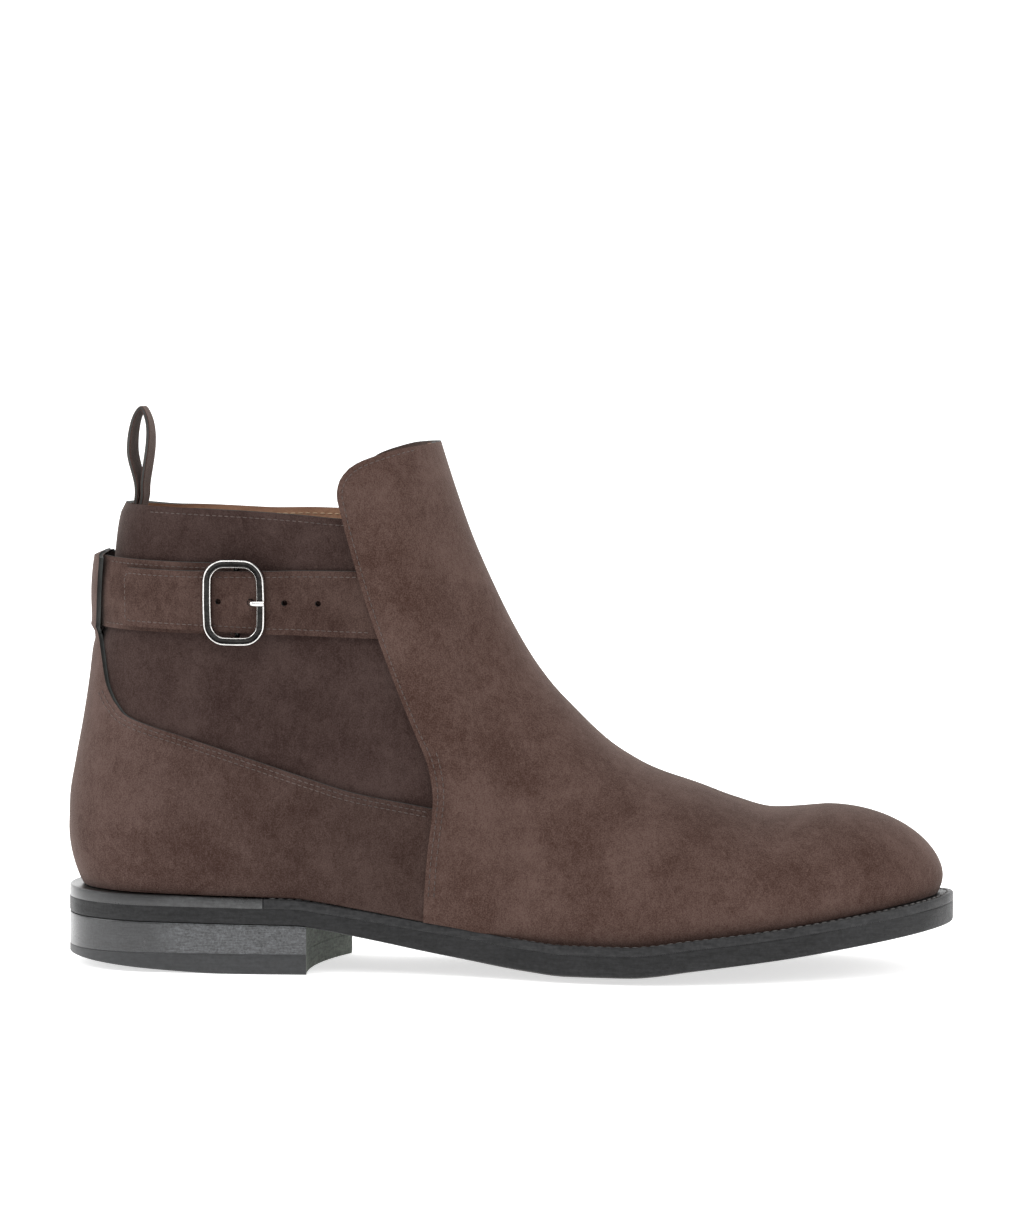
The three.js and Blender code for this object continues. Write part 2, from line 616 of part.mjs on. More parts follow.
// The quarters below their collar line, which hangs a little lower on the inner side.
function quarterOutline(drop) {
  const shape = new THREE.Shape();
  const [behind, ahead] = [-REACH, SOLE_LENGTH + REACH];
  const heightOf = (row) => (row.height - drop * row.drop) * row.of;
  const line = COLLAR_ROWS.map((row) => sideVector(row.at * SOLE_LENGTH, heightOf(row)));
  shape.moveTo(behind, -REACH);
  shape.lineTo(ahead, -REACH);
  shape.lineTo(ahead, line.at(-1).y);
  shape.splineThru([...line].reverse());
  shape.lineTo(behind, line[0].y);
  shape.closePath();
  return shape;
}
const LONG_LINE_SEGMENTS = 2;
const outerHalf = sidePrism(quarterOutline(0), -REACH, 0, LONG_LINE_SEGMENTS);
const innerHalf = sidePrism(quarterOutline(1), -GAP, REACH, LONG_LINE_SEGMENTS);
const upper = shell(() => -WALL, () => 0).intersect(outerHalf.add(innerHalf));
const vamp = shell(flapLift, raised(flapLift, OVERLAY)).intersect(sidePrism(vampOutline(), -REACH, REACH));
const foxing = shell(keeperLift, raised(keeperLift, OVERLAY)).intersect(
  sidePrism(foxingOutline(), -REACH, REACH, LONG_LINE_SEGMENTS));

// The back strap runs from under the vamp's inner edge, round the heel, to the buckle's middle bar.
const strapShell = shell(() => GAP, () => GAP + STRAP_THICKNESS);
const half = STRAP_WIDTH / 2;
const underFlap = flapAt(STRAP_HEIGHT) + FOXING_UNDERLAP;
const atBar = BUCKLE_X - BUCKLE_BAR_RADIUS - 3 * GAP;
const outerBand = sidePrism(
  bandOutline(-REACH / 2, atBar, half, half, half + STRAP_FLARE, half + STRAP_FLARE), -REACH, 0);
const innerBand = sidePrism(
  bandOutline(-REACH / 2, underFlap, half, half, half + STRAP_FLARE, half), -GAP, REACH);
const backStrap = strapShell.intersect(outerBand.add(innerBand));

// A place on the lateral side: its surface point, and axes that run forwards, up and out from there.
function seatOn(x, z) {
  const at = (px, pz) => new THREE.Vector3(px, backbone(px) - upperHalf(LATERAL, px, pz), pz);
  const span = BUCKLE_WIDTH / 2;
  const forward = at(x + span, z).sub(at(x - span, z)).normalize();
  const rise = at(x, z + span).sub(at(x, z - span)).normalize();
  const out = forward.clone().cross(rise).normalize();
  const up = out.clone().cross(forward).normalize();
  return new THREE.Matrix4().makeBasis(forward, up, out).setPosition(at(x, z));
}
const buckleSeat = seatOn(BUCKLE_X, strapMiddle(BUCKLE_X));

// The buckled strap: its root is sewn under the vamp's outer edge, and its tip lies over the back strap.
const STRAP_TIP_X = 0.078 * SOLE_LENGTH;
const tipHalf = STRAP_TIP_WIDTH / 2;
const PRONG_HOLE_X = BUCKLE_X + 0.48 * STRAP_HOLE_PITCH;
function strapHole(x, radius) {
  const cutter = new THREE.CylinderGeometry(radius, radius, 30, 12);
  cutter.rotateX(Math.PI / 2);
  cutter.applyMatrix4(seatOn(x, strapMiddle(x)));
  return solidOf(cutter);
}
let buckleStrap = shell(tipLift, raised(tipLift, STRAP_THICKNESS)).intersect(
  sidePrism(bandOutline(STRAP_TIP_X, underFlap, tipHalf, half, tipHalf, half), -REACH, 0));
for (let i = 0; i < STRAP_HOLES; i++) {
  buckleStrap = buckleStrap.subtract(strapHole(PRONG_HOLE_X + (i - 1) * STRAP_HOLE_PITCH, STRAP_HOLE_RADIUS));
}

// The buckle: a rounded frame over the strap, with a lower middle bar under it that the prong turns on.
function roundedFrame(width, height, corner) {
  const shape = new THREE.Shape();
  const [a, b] = [width / 2, height / 2];
  shape.absarc(a - corner, b - corner, corner, 0, 0.5 * Math.PI, false);
  shape.absarc(-a + corner, b - corner, corner, 0.5 * Math.PI, Math.PI, false);
  shape.absarc(-a + corner, -b + corner, corner, Math.PI, 1.5 * Math.PI, false);
  shape.absarc(a - corner, -b + corner, corner, 1.5 * Math.PI, 2 * Math.PI, false);
  return shape;
}
const BUCKLE_CORNER = 0.36 * BUCKLE_WIDTH;
const frameBase = overBar + STRAP_THICKNESS + 2 * GAP;
function buckleSolid() {
  const shape = roundedFrame(BUCKLE_WIDTH, BUCKLE_HEIGHT, BUCKLE_CORNER);
  const [insideWidth, insideHeight] = [BUCKLE_WIDTH - 2 * BUCKLE_BAR, BUCKLE_HEIGHT - 2 * BUCKLE_BAR];
  const inside = roundedFrame(insideWidth, insideHeight, BUCKLE_CORNER - BUCKLE_BAR / 2);
  shape.holes.push(inside);
  const bevel = 0.3 * BUCKLE_THICKNESS;
  const frame = new THREE.ExtrudeGeometry(shape, {
    depth: BUCKLE_THICKNESS - 2 * bevel,
    bevelThickness: bevel,
    bevelSize: bevel,
    bevelOffset: -bevel,
    bevelSegments: 1,
    curveSegments: 3,
  });
  frame.translate(0, 0, frameBase + bevel);
  const length = BUCKLE_HEIGHT - BUCKLE_BAR;
  const barLevel = 2 * GAP + BUCKLE_BAR_RADIUS;
  const bar = new THREE.CylinderGeometry(BUCKLE_BAR_RADIUS, BUCKLE_BAR_RADIUS, length, 10);
  bar.translate(0, 0, barLevel);
  let solid = solidOf(frame).add(solidOf(bar));
  for (const end of [-1, 1]) {
    const post = new THREE.BoxGeometry(2 * BUCKLE_BAR_RADIUS, 0.8 * BUCKLE_BAR, frameBase - barLevel + 1);
    post.translate(0, end * (length / 2 - 0.2 * BUCKLE_BAR), (frameBase + barLevel + 1) / 2 - 0.2);
    solid = solid.add(solidOf(post));
  }
  const placed = geometryFrom(solid);
  placed.applyMatrix4(buckleSeat);
  return placed;
}

// The prong leaves the middle bar, comes up through the strap's hole and lies on the frame's front bar.
function prongGeometry() {
  const barLevel = 2 * GAP + BUCKLE_BAR_RADIUS;
  const restLevel = frameBase + BUCKLE_THICKNESS + GAP + PRONG_RADIUS;
  const holeX = PRONG_HOLE_X - BUCKLE_X;
  const path = new THREE.CatmullRomCurve3([
    new THREE.Vector3(BUCKLE_BAR_RADIUS + GAP, 0, barLevel),
    new THREE.Vector3(holeX - 1, 0, barLevel - 0.15),
    new THREE.Vector3(holeX - 0.3, 0, mix(barLevel, restLevel, 0.3)),
    new THREE.Vector3(holeX + 0.3, 0, mix(barLevel, restLevel, 0.7)),
    new THREE.Vector3(holeX + 1.6, 0, restLevel - 0.2),
    new THREE.Vector3(BUCKLE_WIDTH / 2 - BUCKLE_BAR / 2, 0, restLevel),
    new THREE.Vector3(BUCKLE_WIDTH / 2 + 0.3, 0, restLevel),
  ]);
  const section = new THREE.Shape().absarc(0, 0, PRONG_RADIUS, 0, 2 * Math.PI, false);
  const geometry = new THREE.ExtrudeGeometry(section, { steps: 10, extrudePath: path, curveSegments: 3 });
  geometry.applyMatrix4(buckleSeat);
  return geometry;
}

// The pull loop: a narrow folded strip that stands up from inside the back of the collar.
function loopGeometry() {
  const base = BACK_HEIGHT - LOOP_ROOT;
  const clearance = WALL + 3 * GAP + LOOP_WIDTH ** 2 / (4 * HEEL_WIDTH);
  const foot = backAt(base) + clearance;
  const root = backAt(BACK_HEIGHT) + clearance;
  const top = BACK_HEIGHT + LOOP_HEIGHT;
  const middle = root + LOOP_THICKNESS + GAP;
  const outer = [
    sideVector(foot, base),
    sideVector(root, BACK_HEIGHT + 0.1 * LOOP_HEIGHT),
    sideVector(middle - 0.52 * LOOP_SPREAD, BACK_HEIGHT + 0.52 * LOOP_HEIGHT),
    sideVector(middle - 0.36 * LOOP_SPREAD, BACK_HEIGHT + 0.85 * LOOP_HEIGHT),
    sideVector(middle + 0.06 * LOOP_SPREAD, top),
    sideVector(middle + 0.42 * LOOP_SPREAD, BACK_HEIGHT + 0.85 * LOOP_HEIGHT),
    sideVector(middle + 0.48 * LOOP_SPREAD, BACK_HEIGHT + 0.6 * LOOP_HEIGHT),
    sideVector(middle + 0.24 * LOOP_SPREAD, BACK_HEIGHT + 0.2 * LOOP_HEIGHT),
    sideVector(root + 2 * LOOP_THICKNESS + GAP, BACK_HEIGHT),
    sideVector(foot + 2 * LOOP_THICKNESS + GAP, base),
  ];
  const line = new THREE.SplineCurve(outer).getPoints(22);
  const inner = line.map((point, i) => {
    const before = line[Math.max(i - 1, 0)];
    const after = line[Math.min(i + 1, line.length - 1)];
    const run = after.clone().sub(before).normalize();
    return sideVector(point.x + run.y * LOOP_THICKNESS, point.y - run.x * LOOP_THICKNESS);
  });
  const shape = new THREE.Shape([...line, ...inner.reverse()]);
  const geometry = new THREE.ExtrudeGeometry(shape, { depth: LOOP_WIDTH, bevelEnabled: false });
  geometry.rotateX(Math.PI / 2);
  geometry.translate(0, backbone(root) + LOOP_WIDTH / 2, 0);
  return geometry;
}

// A plate of the sole between two side lines that run from the heel to the toe, its surfaces given as heights.
const RUNGS = [-1, -0.7, -FLAT_TREAD, FLAT_TREAD, 0.7, 1];
function plate(lateral, medial, low, high, bow = () => 0, rungs = RUNGS) {
  const cornersAt = (i) =>
    rungs.map((rung) => {
      const share = (rung + 1) / 2;
      const x = mix(lateral[i].x, medial[i].x, share) - bow(i) * (1 - rung ** 2);
      return [x, mix(lateral[i].y, medial[i].y, share)];
    });
  const vertices = [];
  lateral.forEach((_, i) => {
    for (const [x, y] of cornersAt(i)) {
      vertices.push(new THREE.Vector3(x, y, low(x, y)), new THREE.Vector3(x, y, high(x, y)));
    }
  });
  const at = (i, j, level) => 2 * (i * rungs.length + j) + level;
  const triangles = [];
  const quad = (a, b, c, d) => triangles.push([a, b, c], [a, c, d]);
  const last = lateral.length - 1;
  const end = rungs.length - 1;
  for (let i = 0; i < last; i++) {
    for (let j = 0; j < end; j++) {
      quad(at(i, j, 1), at(i + 1, j, 1), at(i + 1, j + 1, 1), at(i, j + 1, 1));
      quad(at(i, j, 0), at(i, j + 1, 0), at(i + 1, j + 1, 0), at(i + 1, j, 0));
    }
    quad(at(i, 0, 0), at(i + 1, 0, 0), at(i + 1, 0, 1), at(i, 0, 1));
    quad(at(i, end, 1), at(i + 1, end, 1), at(i + 1, end, 0), at(i, end, 0));
  }
  for (let j = 0; j < end; j++) {
    quad(at(0, j, 1), at(0, j + 1, 1), at(0, j + 1, 0), at(0, j, 0));
    quad(at(last, j, 0), at(last, j + 1, 0), at(last, j + 1, 1), at(last, j, 1));
  }
  return closedGeometry(vertices, triangles);
}

// Shared corners are merged, and triangles that have no width left are dropped.
function closedGeometry(vertices, triangles) {
  const found = new Map();
  const kept = [];
  const ids = vertices.map((vertex) => {
    const key = vertex.toArray().map((value) => value.toFixed(4)).join();
    if (!found.has(key)) found.set(key, kept.push(vertex) - 1);
    return found.get(key);
  });
  const real = triangles.map((t) => t.map((i) => ids[i])).filter((t) => new Set(t).size === 3);
  return geometryOf(kept, real);
}

// A point of the sole's outline at x, moved inwards by "inset", square to the outline.
function soleEdge(side, x, inset) {
  const at = (place) => {
    const held = clamp(place, 0, SOLE_LENGTH);
    return new THREE.Vector2(held, backbone(held) + side * soleHalf(side, held));
  };
  const step = 0.4;
  const run = at(x + step).sub(at(x - step));
  if (x <= 0) run.set(0, side);
  if (x >= SOLE_LENGTH) run.set(0, -side);
  run.normalize();
  return at(x).add(new THREE.Vector2(side * run.y, -side * run.x).multiplyScalar(inset));
}

// Stations along the whole sole, closer together round its ends. Every layer uses them, so faces stay parallel.
const SOLE_STATIONS = 50;
const PLACES = Array.from(
  { length: SOLE_STATIONS + 1 },
  (_, i) => (SOLE_LENGTH * (1 - Math.cos((i / SOLE_STATIONS) * Math.PI))) / 2,
);
const fromBack = (to) => [...PLACES.filter((x) => x < to - 2), to];
const toToe = (from) => [from, ...PLACES.filter((x) => x > from + 2)];
const edgeLine = (side, inset, places) => places.map((x) => soleEdge(side, x, inset));

// The heel's lifts end at a breast that is hollow in plan and runs further forward on the inner side.
const BREAST_SKEW = 4.5;
const heelPlaces = fromBack(HEEL_LENGTH - BREAST_SKEW).slice(0, -1);
const heelLine = (side, inset) => edgeLine(side, inset, [...heelPlaces, HEEL_LENGTH + side * BREAST_SKEW]);
const HEEL_LAST = heelPlaces.length;
const breastBow = (i) => HEEL_BREAST_BOW * (i / HEEL_LAST) ** 3;
const HEEL_RUNGS = [-1, -0.5, 0, 0.5, 1];
const heelPlate = (inset, low, high) =>
  plate(heelLine(LATERAL, inset), heelLine(MEDIAL, inset), low, high, breastBow, HEEL_RUNGS);
const BEVEL_LENGTH = 0.5 * HEEL_LENGTH;
const heelFloor = (x) => HEEL_REAR_BEVEL * clamp(1 - x / BEVEL_LENGTH) ** 1.5;

// A strip along the sole's edge, for the welt and the heel rand. The path runs anticlockwise from above.
const STRIP_WIDTH = 12;
function strip(path) {
  const vertices = [];
  for (const { side, x } of path) {
    const corners = [soleEdge(side, x, 0), soleEdge(side, x, STRIP_WIDTH)];
    for (const height of [(px, py) => outsoleTopAt(px, py) + GAP, weltTopAt]) {
      corners.forEach((c) => vertices.push(new THREE.Vector3(c.x, c.y, height(c.x, c.y))));
    }
  }
  const triangles = [];
  const quad = (a, b, c, d) => triangles.push([a, b, c], [a, c, d]);
  const last = 4 * (path.length - 1);
  for (let i = 0; i < last; i += 4) {
    quad(i + 2, i + 6, i + 7, i + 3);
    quad(i, i + 4, i + 6, i + 2);
    quad(i + 3, i + 7, i + 5, i + 1);
    quad(i, i + 1, i + 5, i + 4);
  }
  quad(2, 3, 1, 0);
  quad(last, last + 1, last + 3, last + 2);
  return geometryOf(vertices, triangles);
}
const onSide = (side, places) => places.map((x) => ({ side, x }));
const weltPlaces = toToe(RAND_LENGTH + GAP);
const randPlaces = fromBack(RAND_LENGTH).reverse();
const weltPath = [...onSide(LATERAL, weltPlaces), ...onSide(MEDIAL, weltPlaces).reverse().slice(1)];
const randPath = [...onSide(MEDIAL, randPlaces), ...onSide(LATERAL, randPlaces).reverse().slice(1)];

// The insole lies inside the upper's foot, and its filling lies inside the welt.
const INSOLE_RUNGS = [-1, -FLAT_TREAD, FLAT_TREAD, 1];
const FILLING_PLACES = PLACES.filter((_, i) => i % 2 === 0);
const INSOLE_INSET = WALL + GAP + 0.2;
const insoleLine = (side) =>
  Array.from({ length: COLUMNS + 1 }, (_, column) => {
    const foot = tuckPoint(side, column, 1).addScaledVector(outwardAt(side, column), -INSOLE_INSET);
    return new THREE.Vector2(foot.x, foot.y);
  });
const filling = plate(
  edgeLine(LATERAL, STRIP_WIDTH + 2 * JOINT, FILLING_PLACES),
  edgeLine(MEDIAL, STRIP_WIDTH + 2 * JOINT, FILLING_PLACES),
  (x, y) => outsoleTopAt(x, y) + JOINT,
  (x, y) => featherAt(x, y) + 0.5 * INSOLE_RISE,
  () => 0,
  INSOLE_RUNGS,
);
const sock = plate(
  insoleLine(LATERAL),
  insoleLine(MEDIAL),
  (x, y) => featherAt(x, y) + JOINT - GAP,
  (x, y) => featherAt(x, y) + INSOLE_RISE,
  () => 0,
  INSOLE_RUNGS,
);

const outsole = plate(edgeLine(LATERAL, 0, PLACES), edgeLine(MEDIAL, 0, PLACES), treadAt, outsoleTopAt);
const heelStack = heelPlate(LIFT_STEP, () => TOP_PIECE_HEIGHT + GAP, (x, y) => treadAt(x, y) - JOINT);
const topPiece = heelPlate(0, heelFloor, () => TOP_PIECE_HEIGHT);

const group = new THREE.Group();
function addPart(name, shape, color, roughness, metalness = 0) {
  const geometry = shape.isBufferGeometry ? shape : geometryFrom(shape);
  const mesh = new THREE.Mesh(geometry, new THREE.MeshStandardMaterial({ color, roughness, metalness }));
  mesh.name = name;
  group.add(mesh);
}
const SUEDE = 0x8a7466;
const DARK_SUEDE = 0x6d5850;
const SOLE_BLACK = 0x1d1a19;
addPart("outsole", outsole, SOLE_BLACK, 0.6);
addPart("welt", strip(weltPath), SOLE_BLACK, 0.65);
addPart("heel_rand", strip(randPath), SOLE_BLACK, 0.5);
addPart("heel_stack", heelStack, SOLE_BLACK, 0.4);
addPart("heel_top_piece", topPiece, 0x151515, 0.5);
addPart("insole", solidOf(filling).add(solidOf(sock)), 0xb58a5c, 0.7);
addPart("upper", upper, DARK_SUEDE, 0.9);
addPart("vamp", vamp, SUEDE, 0.9);
addPart("heel_foxing", foxing, SUEDE, 0.9);
addPart("back_strap", backStrap, SUEDE, 0.9);
addPart("buckle_strap", buckleStrap, SUEDE, 0.9);
addPart("buckle_frame", buckleSolid(), 0x6c6a68, 0.25, 1);
addPart("buckle_prong", prongGeometry(), 0xb9b6b1, 0.2, 1);
addPart("pull_loop", loopGeometry(), SUEDE, 0.9);

// The origin goes to the middle of the whole boot's bottom.
const bounds = new THREE.Box3().setFromObject(group);
const middle = bounds.getCenter(new THREE.Vector3());
group.position.set(-middle.x, -middle.y, -bounds.min.z);
export default group;
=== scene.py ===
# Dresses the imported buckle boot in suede, leather and metal, on a white studio floor.
# Sizes are in millimetres from the back of the heel until a mesh is made, where they turn into metres.
import math

import bmesh
import bpy
import numpy as np
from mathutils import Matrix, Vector, noise


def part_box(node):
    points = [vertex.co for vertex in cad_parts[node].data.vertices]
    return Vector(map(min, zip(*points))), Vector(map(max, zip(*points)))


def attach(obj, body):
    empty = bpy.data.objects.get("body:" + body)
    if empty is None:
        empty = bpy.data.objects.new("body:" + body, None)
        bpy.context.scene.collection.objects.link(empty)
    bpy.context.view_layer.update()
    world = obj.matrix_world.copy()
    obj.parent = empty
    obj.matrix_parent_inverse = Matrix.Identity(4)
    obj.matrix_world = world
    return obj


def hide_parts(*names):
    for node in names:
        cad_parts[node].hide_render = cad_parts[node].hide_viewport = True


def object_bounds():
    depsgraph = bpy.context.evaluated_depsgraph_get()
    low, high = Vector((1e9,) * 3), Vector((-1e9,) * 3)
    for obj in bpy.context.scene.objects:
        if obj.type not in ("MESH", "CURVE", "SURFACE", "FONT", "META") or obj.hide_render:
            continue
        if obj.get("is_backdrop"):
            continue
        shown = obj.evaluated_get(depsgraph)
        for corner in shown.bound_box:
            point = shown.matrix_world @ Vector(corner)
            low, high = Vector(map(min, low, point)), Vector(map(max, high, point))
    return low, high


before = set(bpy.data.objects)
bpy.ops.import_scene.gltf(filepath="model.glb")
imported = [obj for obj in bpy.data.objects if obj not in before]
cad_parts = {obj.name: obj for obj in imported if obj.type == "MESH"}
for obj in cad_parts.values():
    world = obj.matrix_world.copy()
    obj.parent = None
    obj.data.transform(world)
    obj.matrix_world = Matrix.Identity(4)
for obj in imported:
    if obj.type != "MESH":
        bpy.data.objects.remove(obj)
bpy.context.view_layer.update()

LATERAL, MEDIAL = -1, 1
MM = 0.001

# Shape of the last
# The same sizes and tables as the CAD source, so that every finer piece lies where its CAD solid does.
SOLE_LENGTH, BALL_WIDTH, WAIST_WIDTH, HEEL_WIDTH = 308, 106, 61, 67
HEEL_LENGTH, HEEL_HEIGHT, TOP_PIECE_HEIGHT, HEEL_REAR_BEVEL, HEEL_BREAST_BOW = 91.5, 16.4, 6.9, 4.2, 4
TOE_SPRING, TREAD_CAMBER, OUTSOLE_THICKNESS, WELT_THICKNESS = 16.5, 3, 7, 3
WELT_MARGIN, RAND_LENGTH, LIFT_STEP, FLAT_TREAD, BREAST_SKEW = 4.4, 72, 0.6, 0.4, 4.5
FRONT_HEIGHT, BACK_HEIGHT, TOE_HEIGHT, TOE_POWER, BULGE_HEIGHT, BULGE_INSET = 182, 161, 22.6, 0.58, 20, 5
WALL, OVERLAY, FLAP_LIFT, KEEPER_LIFT, FOXING_UNDERLAP, GAP = 1.8, 1.3, 2.4, 3.3, 8, 0.3
STRAP_WIDTH, STRAP_THICKNESS, STRAP_HEIGHT, STRAP_TIP_WIDTH = 23, 1.6, 128.6, 20
STRAP_HOLE_PITCH, BUCKLE_WIDTH, BUCKLE_HEIGHT, BUCKLE_BAR, BUCKLE_THICKNESS = 11.4, 22, 29.8, 3, 2.2
BUCKLE_BAR_RADIUS, PRONG_RADIUS = 0.9, 0.85
LOOP_WIDTH, LOOP_THICKNESS, LOOP_HEIGHT, LOOP_ROOT, LOOP_SPREAD = 12, 1.3, 33, 14, 7.6

SOLE_ROWS = {
    "at": (0, 0.2, 0.29, 0.37, 0.43, 0.5, 0.57, 0.64, 0.72, 1),
    "of": [HEEL_WIDTH] * 3 + [WAIST_WIDTH] * 2 + [BALL_WIDTH] * 5,
    "lateral": (0.5, 0.5, 0.478, 0.52, 0.555, 0.375, 0.44, 0.487, 0.507, 0.507),
    "medial": (0.5, 0.495, 0.465, 0.46, 0.475, 0.31, 0.39, 0.455, 0.493, 0.493),
}
BACKBONE_ROWS = {
    "at": (0, 0.12, 0.29, 0.45, 0.6, 0.75, 0.9, 1),
    "of": [BALL_WIDTH] * 8,
    "shift": (0.02, 0.004, -0.024, -0.042, -0.036, -0.008, 0.034, 0.06),
}
TREAD_ROWS = {
    "at": (0, 0.15, 0.27, 0.3, 0.34, 0.41, 0.46, 0.53, 0.575, 0.645, 0.72, 0.81, 0.906, 1),
    "of": [HEEL_HEIGHT] * 9 + [TOE_SPRING] * 5,
    "rise": (1.11, 1.06, 1.03, 0.95, 0.78, 0.48, 0.3, 0.08, 0, 0, 0.17, 0.42, 0.73, 1),
}
CAMBER_ROWS = {"at": (0.3, 0.41, 0.57, 0.65, 0.81, 1), "of": [TREAD_CAMBER] * 6, "lift": (0, 0.5, 1, 1, 0.7, 0)}
OUTSOLE_ROWS = {"at": (0.29, 0.45), "of": [OUTSOLE_THICKNESS] * 2, "depth": (0.78, 1)}
WELT_ROWS = {"at": (0, 0.2, 0.45), "of": [WELT_THICKNESS] * 3, "depth": (1.25, 1.08, 1)}
RIDGE_ROWS = {
    "at": (0.419, 0.438, 0.455, 0.478, 0.501, 0.524, 0.546, 0.569, 0.592, 0.615, 0.638, 0.661, 0.707, 0.752, 0.798,
           0.857),
    "rise": (1, 0.896, 0.812, 0.721, 0.641, 0.574, 0.523, 0.481, 0.438, 0.401, 0.373, 0.349, 0.306, 0.262, 0.227, 0.215),
}
BACK_ROWS = {
    "up": (0.298, 0.36, 0.44, 0.53, 0.615, 0.69, 0.735, 0.79, 0.88, 0.945, 0.985, 1),
    "back": (0.0058, 0.0068, 0.0135, 0.0222, 0.0293, 0.0345, 0.042, 0.0448, 0.053, 0.0571, 0.062, 0.068),
}
RIM_ROWS = {
    "at": (0.06, 0.22, 0.285, 0.32, 0.36, 0.419),
    "of": [BACK_HEIGHT] * 2 + [FRONT_HEIGHT] * 4,
    "height": (1.03, 1.035, 0.945, 0.97, 0.985, 1),
}
COLLAR_ROWS = {
    "at": (0.06, 0.12, 0.21, 0.27, 0.335, 0.36, 0.395, 0.43),
    "of": [BACK_HEIGHT] * 5 + [FRONT_HEIGHT] * 3,
    "height": (1, 0.998, 0.991, 0.984, 0.975, 0.91, 0.97, 1.03),
    "drop": (0, 0.013, 0.013, 0.006, 0, 0, 0, 0),
}
BULGE_ROWS = {
    "at": (0, 0.2, 0.4, 0.6, 0.8, 1),
    "height": (1, 0.85, 0.6, 0.5, 0.44, 0.28),
    "inset": (1, 0.65, 0.5, 0.45, 0.42, 0.4),
}
WIDTH_ROWS = {
    "at": (0, 0.11, 0.2, 0.3, 0.41, 0.49, 0.56, 0.62),
    "lateral": (0.28, 0.28, 0.25, 0, -0.1, 0.25, 0.8, 1),
    "medial": (0.28, 0.28, 0.2, -0.35, -0.75, -0.2, 0.7, 1),
    "ankle": (0.87, 0.88, 0.91, 0.97, 0.98, 0.93, 0.95, 1),
    "collar": (0.95, 0.965, 0.985, 1.02, 0.97, 0.9, 0.95, 1),
}
FAN_ROWS = {"part": (0, 0.15, 0.25, 0.4, 0.6, 0.8, 1), "top": (0.419, 0.49, 0.56, 0.66, 0.755, 0.825, 0.865)}
FLAP_ROWS = {
    "up": (0, 0.22, 0.34, 0.4, 0.46, 0.58, 0.7, 0.83, 0.9),
    "at": (0.4125, 0.4205, 0.4275, 0.422, 0.4077, 0.3783, 0.353, 0.3305, 0.32),
}
FOXING_ROWS = {
    "at": (0.038, 0.0445, 0.051, 0.0575, 0.0655, 0.083, 0.147, 0.218, 0.29, 0.347, 0.45),
    "up": (0.73, 0.68, 0.62, 0.592, 0.57, 0.5425, 0.504, 0.462, 0.4185, 0.388, 0.354),
}


def mix(a, b, share):
    return a + (b - a) * share


def clamp(value, low=0.0, high=1.0):
    return np.clip(value, low, high)


def smooth(value):
    share = clamp(value)
    return share * share * (3 - 2 * share)


def through(xs, ys):
    """A smooth curve through points that never overshoots, and is level beyond them."""
    xs, ys = np.array(xs, float), np.array(ys, float)
    slopes = np.diff(ys) / np.diff(xs)
    before, after = np.r_[slopes[0], slopes], np.r_[slopes, slopes[-1]]
    same = before * after > 0
    tangents = np.where(same, 2 * before * after / np.where(same, before + after, 1), 0)

    def curve(x):
        place = clamp(x, xs[0], xs[-1])
        i = np.clip(np.searchsorted(xs, place) - 1, 0, len(xs) - 2)
        step = xs[i + 1] - xs[i]
        t = (place - xs[i]) / step
        level = ys[i] * (1 + 2 * t) * (1 - t) ** 2 + ys[i + 1] * t * t * (3 - 2 * t)
        return level + step * (tangents[i] * t * (1 - t) ** 2 + tangents[i + 1] * t * t * (t - 1))

    return curve


def along(rows, column):
    sizes = rows.get("of", [1] * len(rows["at"]))
    return through([at * SOLE_LENGTH for at in rows["at"]], [v * s for v, s in zip(rows[column], sizes)])


HALF = {LATERAL: along(SOLE_ROWS, "lateral"), MEDIAL: along(SOLE_ROWS, "medial")}
MARGIN = {LATERAL: along(WIDTH_ROWS, "lateral"), MEDIAL: along(WIDTH_ROWS, "medial")}
backbone = along(BACKBONE_ROWS, "shift")
tread_rise = along(TREAD_ROWS, "rise")
camber_lift = along(CAMBER_ROWS, "lift")
outsole_depth = along(OUTSOLE_ROWS, "depth")
welt_depth = along(WELT_ROWS, "depth")
ridge_share = along(RIDGE_ROWS, "rise")
bulge_share = along(BULGE_ROWS, "height")
inset_share = along(BULGE_ROWS, "inset")
rim_at = along(RIM_ROWS, "height")
collar_at = along(COLLAR_ROWS, "height")
collar_drop = along(COLLAR_ROWS, "drop")
ankle_share = along(WIDTH_ROWS, "ankle")
collar_share = along(WIDTH_ROWS, "collar")
back_at = through([up * BACK_HEIGHT for up in BACK_ROWS["up"]], [b * SOLE_LENGTH for b in BACK_ROWS["back"]])
fan_top = through(FAN_ROWS["part"], [top * SOLE_LENGTH for top in FAN_ROWS["top"]])
flap_at = through([up * FRONT_HEIGHT for up in FLAP_ROWS["up"]], [at * SOLE_LENGTH for at in FLAP_ROWS["at"]])

TOE_ROUND_FROM = 0.665 * SOLE_LENGTH
UPPER_TIP = SOLE_LENGTH - WELT_MARGIN - 0.8
TOP_FRONT_X = 0.419 * SOLE_LENGTH
CROWN_X = 0.857 * SOLE_LENGTH
DIVIDE_X = 0.455 * SOLE_LENGTH
ANKLE_LEVEL = 0.52 * FRONT_HEIGHT
ROUND_DEPTH = 0.61 * FRONT_HEIGHT
SECTION_POWER = {LATERAL: 2.0, MEDIAL: 2.25}
HEEL_ROUND_POWER = 2.2


def toe_round(x, tip):
    return np.sqrt(1 - clamp((x - TOE_ROUND_FROM) / (tip - TOE_ROUND_FROM)) ** 2)


def heel_round(x, back):
    share = clamp(1 - (x - back) / (HEEL_WIDTH / 2))
    return (1 - share**HEEL_ROUND_POWER) ** (1 / HEEL_ROUND_POWER)


